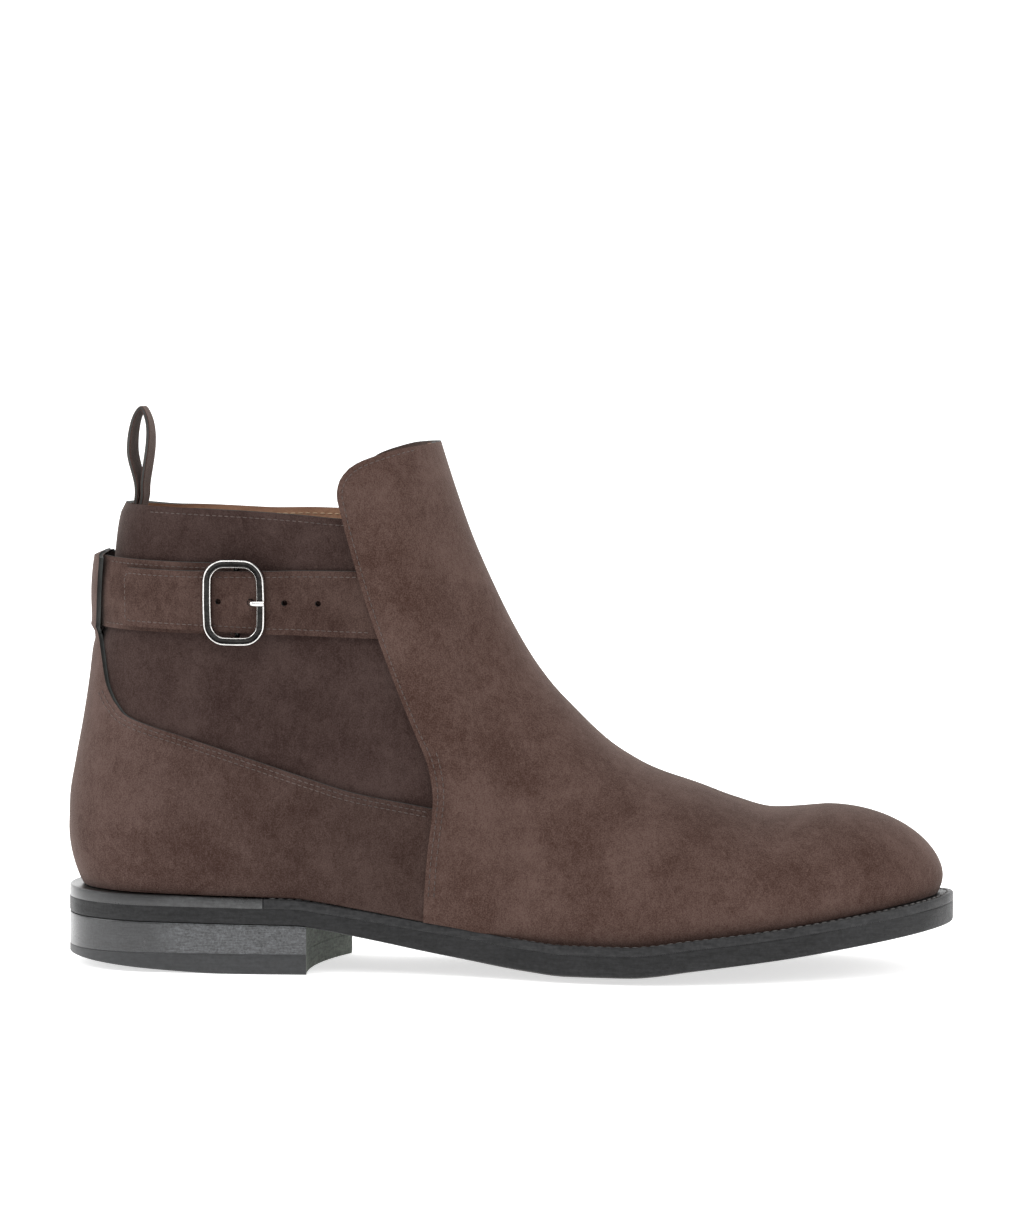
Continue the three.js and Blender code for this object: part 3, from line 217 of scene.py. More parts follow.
def tread_at(x, y):
    off = y - backbone(x)
    across = np.abs(off) / np.where(off < 0, HALF[LATERAL](x), HALF[MEDIAL](x))
    return tread_rise(x) + camber_lift(x) * (np.maximum(0, across - FLAT_TREAD) / (1 - FLAT_TREAD)) ** 2


def outsole_top(x, y):
    return tread_at(x, y) + outsole_depth(x)


def welt_top(x, y):
    return outsole_top(x, y) + GAP + welt_depth(x)


def feather_at(x, y):
    return welt_top(x, y) + GAP


def bulge_at(x):
    return feather_at(x, backbone(x)) + camber_lift(x) + BULGE_HEIGHT * bulge_share(x)


FRONT_RISE = FRONT_HEIGHT - feather_at(TOP_FRONT_X, backbone(TOP_FRONT_X))
FRONT_STEP = 0.01 * SOLE_LENGTH


def ridge_spline(x):
    return feather_at(x, backbone(x)) + FRONT_RISE * ridge_share(x)


FRONT_SLOPE = (ridge_spline(TOP_FRONT_X) - ridge_spline(TOP_FRONT_X + FRONT_STEP)) / FRONT_STEP


def ridge_at(x):
    """Height of the boot's top line: the shaft's front, the instep and the toe's quarter ellipse."""
    share = clamp((x - CROWN_X) / (UPPER_TIP - CROWN_X))
    tip = bulge_at(UPPER_TIP)
    toe = mix(tip, max(ridge_spline(CROWN_X), tip + TOE_HEIGHT), (1 - share**2) ** TOE_POWER)
    shaft = FRONT_HEIGHT + (TOP_FRONT_X - x) * FRONT_SLOPE
    return np.where(x < TOP_FRONT_X, shaft, np.where(x <= CROWN_X, ridge_spline(x), toe))


def low_half(side, x):
    return (HALF[side](x) - WELT_MARGIN * MARGIN[side](x)) * toe_round(x, UPPER_TIP)


def three_widths(z, levels, widths):
    """The curve of through(), for three levels and widths that are arrays themselves."""
    z = clamp(z, levels[0], levels[2])
    slopes = [(widths[i + 1] - widths[i]) / (levels[i + 1] - levels[i]) for i in (0, 1)]
    same = slopes[0] * slopes[1] > 0
    middle = np.where(same, 2 * slopes[0] * slopes[1] / np.where(same, slopes[0] + slopes[1], 1), 0)

    def part(i, first, second):
        step = levels[i + 1] - levels[i]
        t = (z - levels[i]) / step
        level = widths[i] * (1 + 2 * t) * (1 - t) ** 2 + widths[i + 1] * t * t * (3 - 2 * t)
        return level + step * (first * t * (1 - t) ** 2 + second * t * t * (t - 1))

    return np.where(z <= levels[1], part(0, slopes[0], middle), part(1, middle, slopes[1]))


def upper_half(side, x, z):
    low, bulge = low_half(side, x), bulge_at(x)
    levels = (bulge, np.maximum(ANKLE_LEVEL, bulge + BULGE_HEIGHT), np.maximum(BACK_HEIGHT, bulge + 2 * BULGE_HEIGHT))
    width = three_widths(z, levels, (low, low * ankle_share(x), low * collar_share(x)))
    depth = np.minimum(ridge_at(x) - bulge, ROUND_DEPTH)
    down = clamp((ridge_at(x) - z) / depth)
    return width * np.sqrt(1 - (1 - down) ** SECTION_POWER[side]) * heel_round(x, back_at(z))


def divide_at(z):
    share = clamp((z - bulge_at(DIVIDE_X)) / (FRONT_HEIGHT - bulge_at(DIVIDE_X)))
    return mix(DIVIDE_X, TOP_FRONT_X, share)


# Wear of the upper
# Soft creases where the boot bends, as lines over the side view: depth and width in millimetres, on one side or both.
CREASES = [
    {"from": (136, 118), "to": (158, 72), "depth": 0.55, "width": 8, "sides": (LATERAL, MEDIAL)},
    {"from": (150, 104), "to": (181, 50), "depth": 0.45, "width": 9, "sides": (LATERAL, MEDIAL)},
    {"from": (196, 66), "to": (214, 32), "depth": 0.45, "width": 8, "sides": (LATERAL,)},
    {"from": (212, 62), "to": (228, 30), "depth": 0.35, "width": 7, "sides": (MEDIAL,)},
    {"from": (40, 104), "to": (84, 92), "depth": 0.5, "width": 6, "sides": (LATERAL, MEDIAL)},
    {"from": (62, 110), "to": (112, 88), "depth": 0.45, "width": 7, "sides": (LATERAL,)},
    {"from": (30, 120), "to": (70, 108), "depth": 0.35, "width": 6, "sides": (MEDIAL,)},
]


def crease_depth(side, x, z):
    """How far the creases push the surface in, with a lower swelling beside each one."""
    total = np.zeros(np.shape(x))
    for crease in CREASES:
        if side not in crease["sides"]:
            continue
        (x0, z0), (x1, z1) = crease["from"], crease["to"]
        length = math.hypot(x1 - x0, z1 - z0)
        forward = ((x - x0) * (x1 - x0) + (z - z0) * (z1 - z0)) / length
        across = ((x - x0) * (z1 - z0) - (z - z0) * (x1 - x0)) / length / crease["width"]
        held = smooth(forward / (0.4 * length)) * smooth((length - forward) / (0.4 * length))
        total = total + crease["depth"] * held * (1 - 1.2 * across**2) * np.exp(-(across**2))
    return total


def grid_normals(points):
    run = np.gradient(points, axis=0)
    rise = np.gradient(points, axis=1)
    turn = np.cross(run, rise)
    return turn / np.maximum(np.linalg.norm(turn, axis=2, keepdims=True), 1e-9)


# Grid of the upper
# One fine grid runs from the toe round the back to the toe again, and from the feather line to the top.
BACK_COLUMNS, FRONT_COLUMNS, TUCK_ROWS, DOME_ROWS = 70, 95, 8, 58
TOE_COLUMNS_FROM = 0.4


def shaft_part(side, rounds, ups):
    foot, top = 1 - np.cos(rounds * math.pi / 2), (1 - np.cos(rounds * math.pi)) / 2
    low = bulge_at(mix(back_at(bulge_at(0)), DIVIDE_X, foot))
    high = rim_at(mix(back_at(BACK_HEIGHT), TOP_FRONT_X, top))
    z = mix(low, high, mix(ups, np.sin(ups * math.pi / 2), rounds**3))
    x = mix(back_at(z), divide_at(z), mix(foot, top, ups))
    rim = (rounds == 0) | ((rounds == 1) & (ups == 1))
    return np.stack([x, backbone(x) + np.where(rim, 0, side * upper_half(side, x, z)), z], axis=-1)


def fan_foot(part):
    near = mix(DIVIDE_X, TOE_ROUND_FROM, np.minimum(part / TOE_COLUMNS_FROM, 1) ** 1.3)
    angle = clamp((part - TOE_COLUMNS_FROM) / (1 - TOE_COLUMNS_FROM)) * (math.pi / 2)
    return np.where(part < TOE_COLUMNS_FROM, near, mix(TOE_ROUND_FROM, UPPER_TIP, np.sin(angle)))


def foot_part(side, parts, ups):
    foot, top, turn = fan_foot(parts), fan_top(parts), ups * math.pi / 2
    mid_x = mix(foot, top, np.sin(turn) ** 2)
    mid_z = mix(bulge_at(mid_x), ridge_at(mid_x), np.sin(turn))
    mid_out = np.where(ups == 1, 0, upper_half(side, mid_x, mid_z))
    toe_x = mix(foot, top, 1 - np.cos(turn))
    toe_out = np.where((ups == 1) | (parts == 1), 0, low_half(side, foot) * np.cos(turn))
    room = low_half(side, toe_x)
    over = clamp(np.where(room > 0, toe_out / np.where(room > 0, room, 1), 0))
    toe_z = mix(bulge_at(toe_x), ridge_at(toe_x), (1 - over**2) ** (1 / SECTION_POWER[side]))
    middle = parts < TOE_COLUMNS_FROM
    x, out, z = np.where(middle, mid_x, toe_x), np.where(middle, mid_out, toe_out), np.where(middle, mid_z, toe_z)
    return np.stack([x, backbone(x) + side * out, z], axis=-1)


def half_grid(side):
    ups = np.linspace(0, 1, DOME_ROWS + 1)[None, :]
    shaft = shaft_part(side, np.linspace(0, 1, BACK_COLUMNS + 1)[:, None] + 0 * ups, ups)
    foot = foot_part(side, np.linspace(0, 1, FRONT_COLUMNS + 1)[1:, None] + 0 * ups, ups)
    dome = np.concatenate([shaft, foot])
    bulge = dome[:, 0]
    run = np.gradient(bulge, axis=0)
    outward = np.stack([-side * run[:, 1], side * run[:, 0]], axis=-1) * -1.0
    outward[0], outward[-1] = (-1, 0), (1, 0)
    outward *= np.where(np.abs(outward[:, 1:]) > 0, np.sign(outward[:, 1:]) * side, 1)
    outward /= np.linalg.norm(outward, axis=1, keepdims=True)
    downs = 1 - np.arange(TUCK_ROWS) / TUCK_ROWS
    inset = BULGE_INSET * inset_share(bulge[:, 0])[:, None] * downs[None, :] ** 2
    plan = bulge[:, None, :2] - outward[:, None, :] * inset[:, :, None]
    foot_z = feather_at(plan[..., 0], plan[..., 1]) + 0.2
    tuck = np.concatenate([plan, mix(bulge[:, None, 2], foot_z, downs[None, :])[..., None]], axis=-1)
    grid = np.concatenate([tuck, dome], axis=1)
    out = grid_normals(grid) * -side
    out[:, 0, 2] = 0
    out[0, :, 1] = 0
    out[-1, :, 1] = 0
    out[BACK_COLUMNS:, -1, 1] = 0
    out /= np.maximum(np.linalg.norm(out, axis=2, keepdims=True), 1e-9)
    grid = grid - out * crease_depth(side, grid[..., 0], grid[..., 2])[..., None]
    return grid, out


lateral_grid, lateral_out = half_grid(LATERAL)
medial_grid, medial_out = half_grid(MEDIAL)
SKIN = np.concatenate([lateral_grid[::-1], medial_grid[1:]])
SKIN_OUT = np.concatenate([lateral_out[::-1], medial_out[1:]])

# Place of the part
# The CAD model's origin is in the middle of its box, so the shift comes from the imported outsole.
plan_x = np.linspace(0, SOLE_LENGTH, 4001)
plan_round = toe_round(plan_x, SOLE_LENGTH) * heel_round(plan_x, 0)
edge_low = (backbone(plan_x) - HALF[LATERAL](plan_x) * plan_round).min()
edge_high = (backbone(plan_x) + HALF[MEDIAL](plan_x) * plan_round).max()
outsole_low, outsole_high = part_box("outsole")
SHIFT = np.array([
    (outsole_low[0] + outsole_high[0]) / 2 - SOLE_LENGTH * MM / 2,
    (outsole_low[1] + outsole_high[1]) / 2 - (edge_low + edge_high) * MM / 2,
    0.0,
])


def metres(points):
    return np.asarray(points, float) * MM + SHIFT


# Suede and leather
# Shared node groups: the nap of suede, the grain of smooth leather, and the paint of a sole's edge.
def new_group(name, inputs, outputs):
    group = bpy.data.node_groups.new(name, "ShaderNodeTree")
    for label, kind, value in inputs:
        socket = group.interface.new_socket(label, in_out="INPUT", socket_type=kind)
        socket.default_value = value
    for label, kind in outputs:
        group.interface.new_socket(label, in_out="OUTPUT", socket_type=kind)
    return group, Graph(group.nodes, group.links)


class Graph:
    """Adds nodes to a tree, and joins each named input to a value or to another node's output."""

    def __init__(self, nodes, links):
        self.nodes, self.links = nodes, links

    def add(self, kind, inputs=(), **settings):
        node = self.nodes.new(kind)
        for name, value in settings.items():
            setattr(node, name, value)
        for key, value in dict(inputs).items():
            if isinstance(value, bpy.types.NodeSocket):
                self.links.new(value, node.inputs[key])
            else:
                node.inputs[key].default_value = value
        return node

    def noise(self, place, scale, detail=4.0, roughness=0.6, distortion=0.0):
        inputs = {"Vector": place, "Scale": scale, "Detail": detail, "Roughness": roughness, "Distortion": distortion}
        return self.add("ShaderNodeTexNoise", inputs).outputs["Fac"]

    def span(self, value, low, high, to_low=0.0, to_high=1.0):
        inputs = {"Value": value, "From Min": low, "From Max": high, "To Min": to_low, "To Max": to_high}
        return self.add("ShaderNodeMapRange", inputs).outputs["Result"]

    def blend(self, factor, first, second):
        node = self.add("ShaderNodeMix", data_type="RGBA")
        for key, value in ((0, factor), (6, first), (7, second)):
            if isinstance(value, bpy.types.NodeSocket):
                self.links.new(value, node.inputs[key])
            else:
                node.inputs[key].default_value = value
        return node.outputs[2]

    def math(self, operation, first, second):
        return self.add("ShaderNodeMath", {0: first, 1: second}, operation=operation).outputs[0]


def rgb(red, green, blue):
    return (red, green, blue, 1.0)


def suede_group():
    """Patches where the nap lies either way, streaks of fibre inside them, fine speckle, and a painted shade that
    darkens the colour towards the front.
    """
    inputs = [
        ("Dark", "NodeSocketColor", rgb(0.05, 0.035, 0.03)),
        ("Light", "NodeSocketColor", rgb(0.12, 0.08, 0.065)),
        ("Patch", "NodeSocketFloat", 55.0),
        ("Nap height", "NodeSocketFloat", 0.3),
        ("Shade starts at", "NodeSocketFloat", -0.13),
        ("Shade full at", "NodeSocketFloat", -0.05),
        ("Shaded brightness", "NodeSocketFloat", 1.0),
    ]
    group, g = new_group("Suede nap", inputs, [("Color", "NodeSocketColor"), ("Normal", "NodeSocketVector")])
    into = g.add("NodeGroupInput")
    place = g.add("ShaderNodeTexCoord").outputs["Object"]
    patch = g.noise(place, into.outputs["Patch"], 3.0, 0.5, 0.5)
    brushed = g.noise(place, 150.0, 4.0, 0.6, 1.2)
    stretched = g.add("ShaderNodeMapping", {"Vector": place, "Scale": (1.0, 1.0, 0.5)}).outputs[0]
    streak = g.noise(stretched, 620.0, 4.0, 0.65, 0.8)
    fibre = g.noise(place, 2400.0, 2.0, 0.6)
    lie = g.math("ADD", g.span(patch, 0.34, 0.66, -0.04, 0.5), g.span(brushed, 0.3, 0.7, -0.14, 0.18))
    nap = g.math("ADD", g.span(streak, 0.3, 0.7, -0.18, 0.2), g.span(fibre, 0.35, 0.68, -0.3, 0.42))
    total = g.add("ShaderNodeClamp", {"Value": g.math("ADD", g.math("ADD", lie, nap), 0.2)}).outputs[0]
    blended = g.blend(total, into.outputs["Dark"], into.outputs["Light"])
    # Painted shade: along the boot the colour darkens from one place to the next, down to the given share.
    forward = g.add("ShaderNodeSeparateXYZ", {"Vector": place}).outputs["X"]
    painted_shade = g.span(forward, into.outputs["Shade starts at"], into.outputs["Shade full at"], 1.0, into.outputs["Shaded brightness"])
    colour = g.add("ShaderNodeVectorMath", {0: blended, "Scale": painted_shade}, operation="SCALE").outputs[0]
    height = g.math("ADD", g.math("MULTIPLY", streak, 0.5), g.math("MULTIPLY", fibre, 0.9))
    bump = g.add("ShaderNodeBump", {"Height": height, "Strength": into.outputs["Nap height"], "Distance": 0.0005})
    g.add("NodeGroupOutput", {"Color": colour, "Normal": bump.outputs[0]})
    return group


def grain_group():
    """Small cells of a smooth leather's grain, with its colour a little uneven."""
    inputs = [
        ("Dark", "NodeSocketColor", rgb(0.3, 0.17, 0.09)),
        ("Light", "NodeSocketColor", rgb(0.5, 0.31, 0.18)),
        ("Cell", "NodeSocketFloat", 900.0),
        ("Grain height", "NodeSocketFloat", 0.25),
    ]
    group, g = new_group("Leather grain", inputs, [("Color", "NodeSocketColor"), ("Normal", "NodeSocketVector")])
    into = g.add("NodeGroupInput")
    place = g.add("ShaderNodeTexCoord").outputs["Object"]
    cells = g.add("ShaderNodeTexVoronoi", {"Vector": place, "Scale": into.outputs["Cell"]}, feature="F1").outputs[0]
    cloud = g.noise(place, 70.0, 4.0, 0.6, 0.4)
    fine = g.noise(place, 1500.0, 3.0)
    colour = g.blend(g.math("ADD", g.span(cloud, 0.35, 0.65, 0.1, 0.8), g.span(fine, 0.4, 0.6, -0.1, 0.1)),
                     into.outputs["Dark"], into.outputs["Light"])
    height = g.math("ADD", cells, g.math("MULTIPLY", fine, 0.5))
    bump = g.add("ShaderNodeBump", {"Height": height, "Strength": into.outputs["Grain height"], "Distance": 0.0004})
    g.add("NodeGroupOutput", {"Color": colour, "Normal": bump.outputs[0]})
    return group


# How fast the painted reflection on the heel fades in, and how dark the edge stays behind it.
REFLECTION_FADE, BEHIND_REFLECTION = 0.012, 0.3


def edge_group():
    """Inked and waxed sole leather: pores drawn out along the edge, burnished streaks, uneven shine, and a painted
    reflection that leaves the colour darker behind a given place along the boot.
    """
    inputs = [
        ("Dark", "NodeSocketColor", rgb(0.008, 0.008, 0.0085)),
        ("Light", "NodeSocketColor", rgb(0.022, 0.022, 0.023)),
        ("Pore", "NodeSocketFloat", 700.0),
        ("Pore height", "NodeSocketFloat", 0.3),
        ("Shine low", "NodeSocketFloat", 0.3),
        ("Shine high", "NodeSocketFloat", 0.5),
        ("Painted reflection from", "NodeSocketFloat", -1.0),
    ]
    outputs = [("Color", "NodeSocketColor"), ("Roughness", "NodeSocketFloat"), ("Normal", "NodeSocketVector")]
    group, g = new_group("Sole edge", inputs, outputs)
    into = g.add("NodeGroupInput")
    place = g.add("ShaderNodeTexCoord").outputs["Object"]
    drawn = g.add("ShaderNodeMapping", {"Vector": place, "Scale": (0.22, 0.22, 1.6)}).outputs[0]
    streak = g.noise(drawn, into.outputs["Pore"], 5.0, 0.7)
    pores = g.noise(place, into.outputs["Pore"], 4.0, 0.75)
    broad = g.noise(place, 60.0, 3.0)
    both = g.math("MULTIPLY", g.math("ADD", streak, pores), 0.5)
    # Painted reflection: behind the given place along the boot the colour falls to three tenths, so only the part ahead
    # looks lit.
    forward = g.add("ShaderNodeSeparateXYZ", {"Vector": place}).outputs["X"]
    beyond = g.math("SUBTRACT", forward, into.outputs["Painted reflection from"])
    painted_reflection = g.span(beyond, 0.0, REFLECTION_FADE, BEHIND_REFLECTION, 1.0)
    colour = g.blend(g.math("MULTIPLY", g.span(both, 0.4, 0.62), painted_reflection), into.outputs["Dark"], into.outputs["Light"])
    shine = g.add("ShaderNodeMapRange", {"Value": broad, "From Min": 0.35, "From Max": 0.65,
                                         "To Min": into.outputs["Shine low"], "To Max": into.outputs["Shine high"]})
    bump = g.add("ShaderNodeBump", {"Height": both, "Strength": into.outputs["Pore height"], "Distance": 0.0005})
    g.add("NodeGroupOutput", {"Color": colour, "Roughness": shine.outputs[0], "Normal": bump.outputs[0]})
    return group


SUEDE, GRAIN, EDGE = suede_group(), grain_group(), edge_group()


def material(name, group, settings, surface):
    """A Principled material fed by one of the shared groups. "surface" sets the shader's own sockets."""
    made = bpy.data.materials.new(name)
    made.use_nodes = True
    g = Graph(made.node_tree.nodes, made.node_tree.links)
    shader = made.node_tree.nodes["Principled BSDF"]
    for key, value in surface.items():
        shader.inputs[key].default_value = value
    if group:
        node = g.add("ShaderNodeGroup", node_tree=group)
        for key, value in settings.items():
            node.inputs[key].default_value = value
        g.links.new(node.outputs["Color"], shader.inputs["Base Color"])
        g.links.new(node.outputs["Normal"], shader.inputs["Normal"])
        if "Roughness" in node.outputs:
            g.links.new(node.outputs["Roughness"], shader.inputs["Roughness"])
    return made


NAPPED = {"Roughness": 0.95, "Specular IOR Level": 0.1, "Sheen Weight": 0.16, "Sheen Roughness": 0.4,
          "Sheen Tint": rgb(0.8, 0.7, 0.64)}
quarter_suede = material("quarter suede", SUEDE, {"Dark": rgb(0.022, 0.0115, 0.0096), "Light": rgb(0.053, 0.034, 0.0302),
                                                  "Patch": 38.0}, NAPPED)
vamp_suede = material("vamp suede", SUEDE, {"Dark": rgb(0.038, 0.0188, 0.0142), "Light": rgb(0.09, 0.0562, 0.047),
                                            "Patch": 34.0}, NAPPED)
# The foxing darkens towards the front: painted shade.
foxing_suede = material("foxing suede", SUEDE, {"Dark": rgb(0.038, 0.0195, 0.0152), "Light": rgb(0.09, 0.0575, 0.0495),
                                                "Patch": 34.0, "Shaded brightness": 0.66}, NAPPED)
# The strap darkens towards the front: painted shade.
strap_suede = material("strap suede", SUEDE, {"Shaded brightness": 0.84, "Dark": rgb(0.033, 0.0168, 0.0132), "Light": rgb(0.08, 0.0498, 0.0418),
                                              "Patch": 60.0}, NAPPED)
cut_edge = material("cut edge", GRAIN, {"Dark": rgb(0.016, 0.017, 0.016), "Light": rgb(0.04, 0.042, 0.039)},
                    {"Roughness": 0.75})
lining_leather = material("lining leather", GRAIN, {"Dark": rgb(0.21, 0.1, 0.055), "Light": rgb(0.33, 0.18, 0.105)},
                          {"Roughness": 0.55})
flesh_side = material("flesh side", SUEDE, {"Dark": rgb(0.05, 0.034, 0.029), "Light": rgb(0.1, 0.07, 0.06)}, NAPPED)
brown_thread = material("brown thread", GRAIN, {"Dark": rgb(0.036, 0.023, 0.0192), "Light": rgb(0.088, 0.059, 0.05),
                                                "Cell": 2500.0}, {"Roughness": 0.6})
tan_thread = material("tan thread", GRAIN, {"Dark": rgb(0.3, 0.2, 0.12), "Light": rgb(0.5, 0.36, 0.24),
                                            "Cell": 2500.0}, {"Roughness": 0.6})
black_thread = material("black thread", GRAIN, {"Dark": rgb(0.03, 0.028, 0.027), "Light": rgb(0.1, 0.095, 0.09),
                                                "Cell": 2500.0}, {"Roughness": 0.5})
WAXED = {"Coat Weight": 0.3, "Coat Roughness": 0.2}
WORN = {"Coat Weight": 0.05, "Coat Roughness": 0.3, "Specular IOR Level": 0.22}
sole_edge = material("sole edge", EDGE, {"Shine low": 0.36, "Shine high": 0.6, "Pore height": 0.55,
                                         "Dark": rgb(0.005, 0.005, 0.0052), "Light": rgb(0.017, 0.017, 0.018)}, WORN)
# Where the painted reflection starts on the rand and the heel's lifts.
HEEL_REFLECTION_FROM = -0.122
# The welt's edge is lighter than the outsole's below it: a painted highlight on the upper half of the sole's edge.
welt_edge = material("welt edge", EDGE, {"Shine low": 0.32, "Shine high": 0.5, "Pore height": 0.5,
                                         "Light": rgb(0.028, 0.028, 0.029)}, WORN)
rand_edge = material("rand edge", EDGE, {"Shine low": 0.26, "Shine high": 0.36, "Pore height": 0.12,
                                         "Light": rgb(0.04, 0.041, 0.042), "Painted reflection from": HEEL_REFLECTION_FROM}, WAXED)
# The heel's edge is black leather; its light colour is raised to a grey that is a painted reflection of its glossy
# side.
heel_edge = material("heel edge", EDGE, {"Shine low": 0.24, "Shine high": 0.36, "Pore": 1300.0, "Pore height": 0.1,
                                         "Light": rgb(0.09, 0.094, 0.1), "Painted reflection from": HEEL_REFLECTION_FROM}, WAXED)
heel_breast = material("heel breast", EDGE, {"Dark": rgb(0.065, 0.073, 0.062), "Light": rgb(0.15, 0.165, 0.142),
                                             "Pore height": 0.5, "Shine low": 0.7, "Shine high": 0.85}, {"Specular IOR Level": 0.2})
heel_rubber = material("heel rubber", EDGE, {"Dark": rgb(0.011, 0.0115, 0.0125), "Light": rgb(0.024, 0.025, 0.027),
                                             "Pore height": 0.12, "Shine low": 0.38, "Shine high": 0.5}, {})
tread_leather = material("tread leather", GRAIN, {"Dark": rgb(0.016, 0.014, 0.013), "Light": rgb(0.045, 0.038, 0.034),
                                                  "Cell": 500.0}, {"Roughness": 0.6})


# Sheets cut from a grid
# A leather piece is a grid cut off where a field falls below zero, then given two faces and a rounded edge.
def trimmed(points, outs, field):
    kept, made, faces = {}, [], []

    def corner(i, j):
        key = (i, j)
        if key not in kept:
            kept[key] = len(made)
            made.append((points[i, j], outs[i, j], field[i, j]))
        return kept[key]

    def crossing(a, b):
        key = (a, b) if a < b else (b, a)
        if key not in kept:
            share = field[a] / (field[a] - field[b])
            out = mix(outs[a], outs[b], share)
            kept[key] = len(made)
            made.append((mix(points[a], points[b], share), out / np.linalg.norm(out), 0.0))
        return kept[key]

    inside = field > 0
    for i in range(field.shape[0] - 1):
        for j in range(field.shape[1] - 1):
            if not inside[i : i + 2, j : j + 2].any():
                continue
            corners = [(i, j), (i + 1, j), (i + 1, j + 1), (i, j + 1)]
            ring = []
            for k, a in enumerate(corners):
                b = corners[(k + 1) % 4]
                if inside[a]:
                    ring.append(corner(*a))
                if inside[a] != inside[b]:
                    ring.append(crossing(a, b))
            faces.append(ring)
    return made, faces


def welded(made, faces):
    """Points that fall together become one, and faces that lose their width are dropped."""
    found, places, outs, fields, ids = {}, [], [], [], []
    for place, out, value in made:
        key = tuple(np.round(place, 3))
        if key not in found:
            found[key] = len(places)
            places.append(place)
            outs.append(np.zeros(3))
            fields.append(value)
        outs[found[key]] = outs[found[key]] + out
        ids.append(found[key])
    outs = np.array([out / max(np.linalg.norm(out), 1e-9) for out in outs])
    rings = []
    for face in faces:
        ring = [ids[v] for k, v in enumerate(face) if ids[v] != ids[face[k - 1]]]
        if len(set(ring)) == len(ring) and len(ring) > 2:
            rings.append(ring)
    return np.array(places), outs, np.array(fields), rings


def mesh_object(name, points, faces, slots, materials, sharp=40):
    mesh = bpy.data.meshes.new(name)
    mesh.from_pydata(metres(points).tolist(), [], faces)
    for one in materials:
        mesh.materials.append(one)
    mesh.polygons.foreach_set("material_index", slots)
    mesh.polygons.foreach_set("use_smooth", [True] * len(faces))
    mesh.validate()
    made = bpy.data.objects.new(name, mesh)
    bpy.context.scene.collection.objects.link(made)
    work = bmesh.new()
    work.from_mesh(mesh)
    for edge in work.edges:
        edge.smooth = len(edge.link_faces) != 2 or edge.calc_face_angle(0.0) < math.radians(sharp)
    work.to_mesh(mesh)
    work.free()
    return made


def leather_sheet(name, grid, outs, field, low, high, materials, lip=0.25):
    """low and high are functions of the points. materials: outer face, inner face, edge."""
    places, normals, _, rings = welded(*trimmed(grid, outs, field))
    count = len(places)
    edges = {}
    for ring in rings:
        for k, a in enumerate(ring):
            edges[(ring[k - 1], a)] = True
    border = [edge for edge in edges if (edge[1], edge[0]) not in edges]
    outward = np.zeros((count, 3))
    for a, b in border:
        turn = np.cross(places[b] - places[a], (normals[a] + normals[b]) / 2)
        outward[a] += turn
        outward[b] += turn
    size = np.linalg.norm(outward, axis=1, keepdims=True)
    outward = np.where(size > 0, outward / np.maximum(size, 1e-9), 0)
    bottom, top = low(places)[:, None], high(places)[:, None]
    inner, outer = places + normals * bottom, places + normals * top
    lift = np.minimum(lip, (top - bottom) / 3)
    upper_lip = places + normals * (top - lift) + outward * lift * 0.8
    lower_lip = places + normals * (bottom + lift * 0.6) + outward * lift * 0.8
    verts = np.concatenate([outer, inner, upper_lip, lower_lip])
    faces = list(rings) + [[v + count for v in reversed(ring)] for ring in rings]
    slots = [0] * len(rings) + [1] * len(rings)
    for a, b in border:
        for first, second in ((0, 2), (2, 3), (3, 1)):
            faces.append([b + first * count, a + first * count, a + second * count, b + second * count])
            slots.append(2)
    used = sorted({v for face in faces for v in face})
    index = {v: i for i, v in enumerate(used)}
    return mesh_object(name, verts[used], [[index[v] for v in face] for face in faces], slots, materials)


def finished(piece, node):
    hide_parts(node)
    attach(piece, "root")
    return piece


def side_view(lift):
    """Places x and z of the last's grid, raised by a lift, as the side view shows them."""
    flat = SKIN.reshape(-1, 3)
    raised_grid = SKIN + SKIN_OUT * lift(flat).reshape(SKIN.shape[0], -1, 1)
    return raised_grid[..., 0], raised_grid[..., 2]


# Side-view lines
# Signed distances over the side view, in millimetres, that are positive inside a piece.
def polyline_distance(x, z, line):
    """Distance to a polyline, positive on its left side."""
    best = np.full(np.shape(x), 1e9)
    sign = np.ones(np.shape(x))
    for (x0, z0), (x1, z1) in zip(line[:-1], line[1:]):
        length = math.hypot(x1 - x0, z1 - z0)
        t = clamp(((x - x0) * (x1 - x0) + (z - z0) * (z1 - z0)) / length**2)
        distance = np.hypot(x - mix(x0, x1, t), z - mix(z0, z1, t))
        turn = (x1 - x0) * (z - z0) - (z1 - z0) * (x - x0)
        near = distance < best
        best = np.where(near, distance, best)
        sign = np.where(near, np.sign(turn), sign)
    return best * sign


def quadratic(start, pull, end, count):
    t = np.linspace(0, 1, count)[:, None]
    return (1 - t) ** 2 * np.array(start) + 2 * t * (1 - t) * np.array(pull) + t * t * np.array(end)


FLAP_CORNER = 0.9 * FRONT_HEIGHT
FLAP_SHOULDER = (0.35 * SOLE_LENGTH, 0.975 * FRONT_HEIGHT)
flap_z = np.linspace(-5, FLAP_CORNER, 70)
flap_side = np.stack([flap_at(flap_z), flap_z], axis=1)
flap_turn = quadratic(flap_side[-1], (flap_side[-1][0] - 1, mix(FLAP_CORNER, FLAP_SHOULDER[1], 0.72)), FLAP_SHOULDER, 14)
flap_top = quadratic(FLAP_SHOULDER, (TOP_FRONT_X - 4, FRONT_HEIGHT + 2), (TOP_FRONT_X + 26, FRONT_HEIGHT + 3), 16)
FLAP_LINE = np.concatenate([flap_side, flap_turn[1:], flap_top[1:]])[::-1]

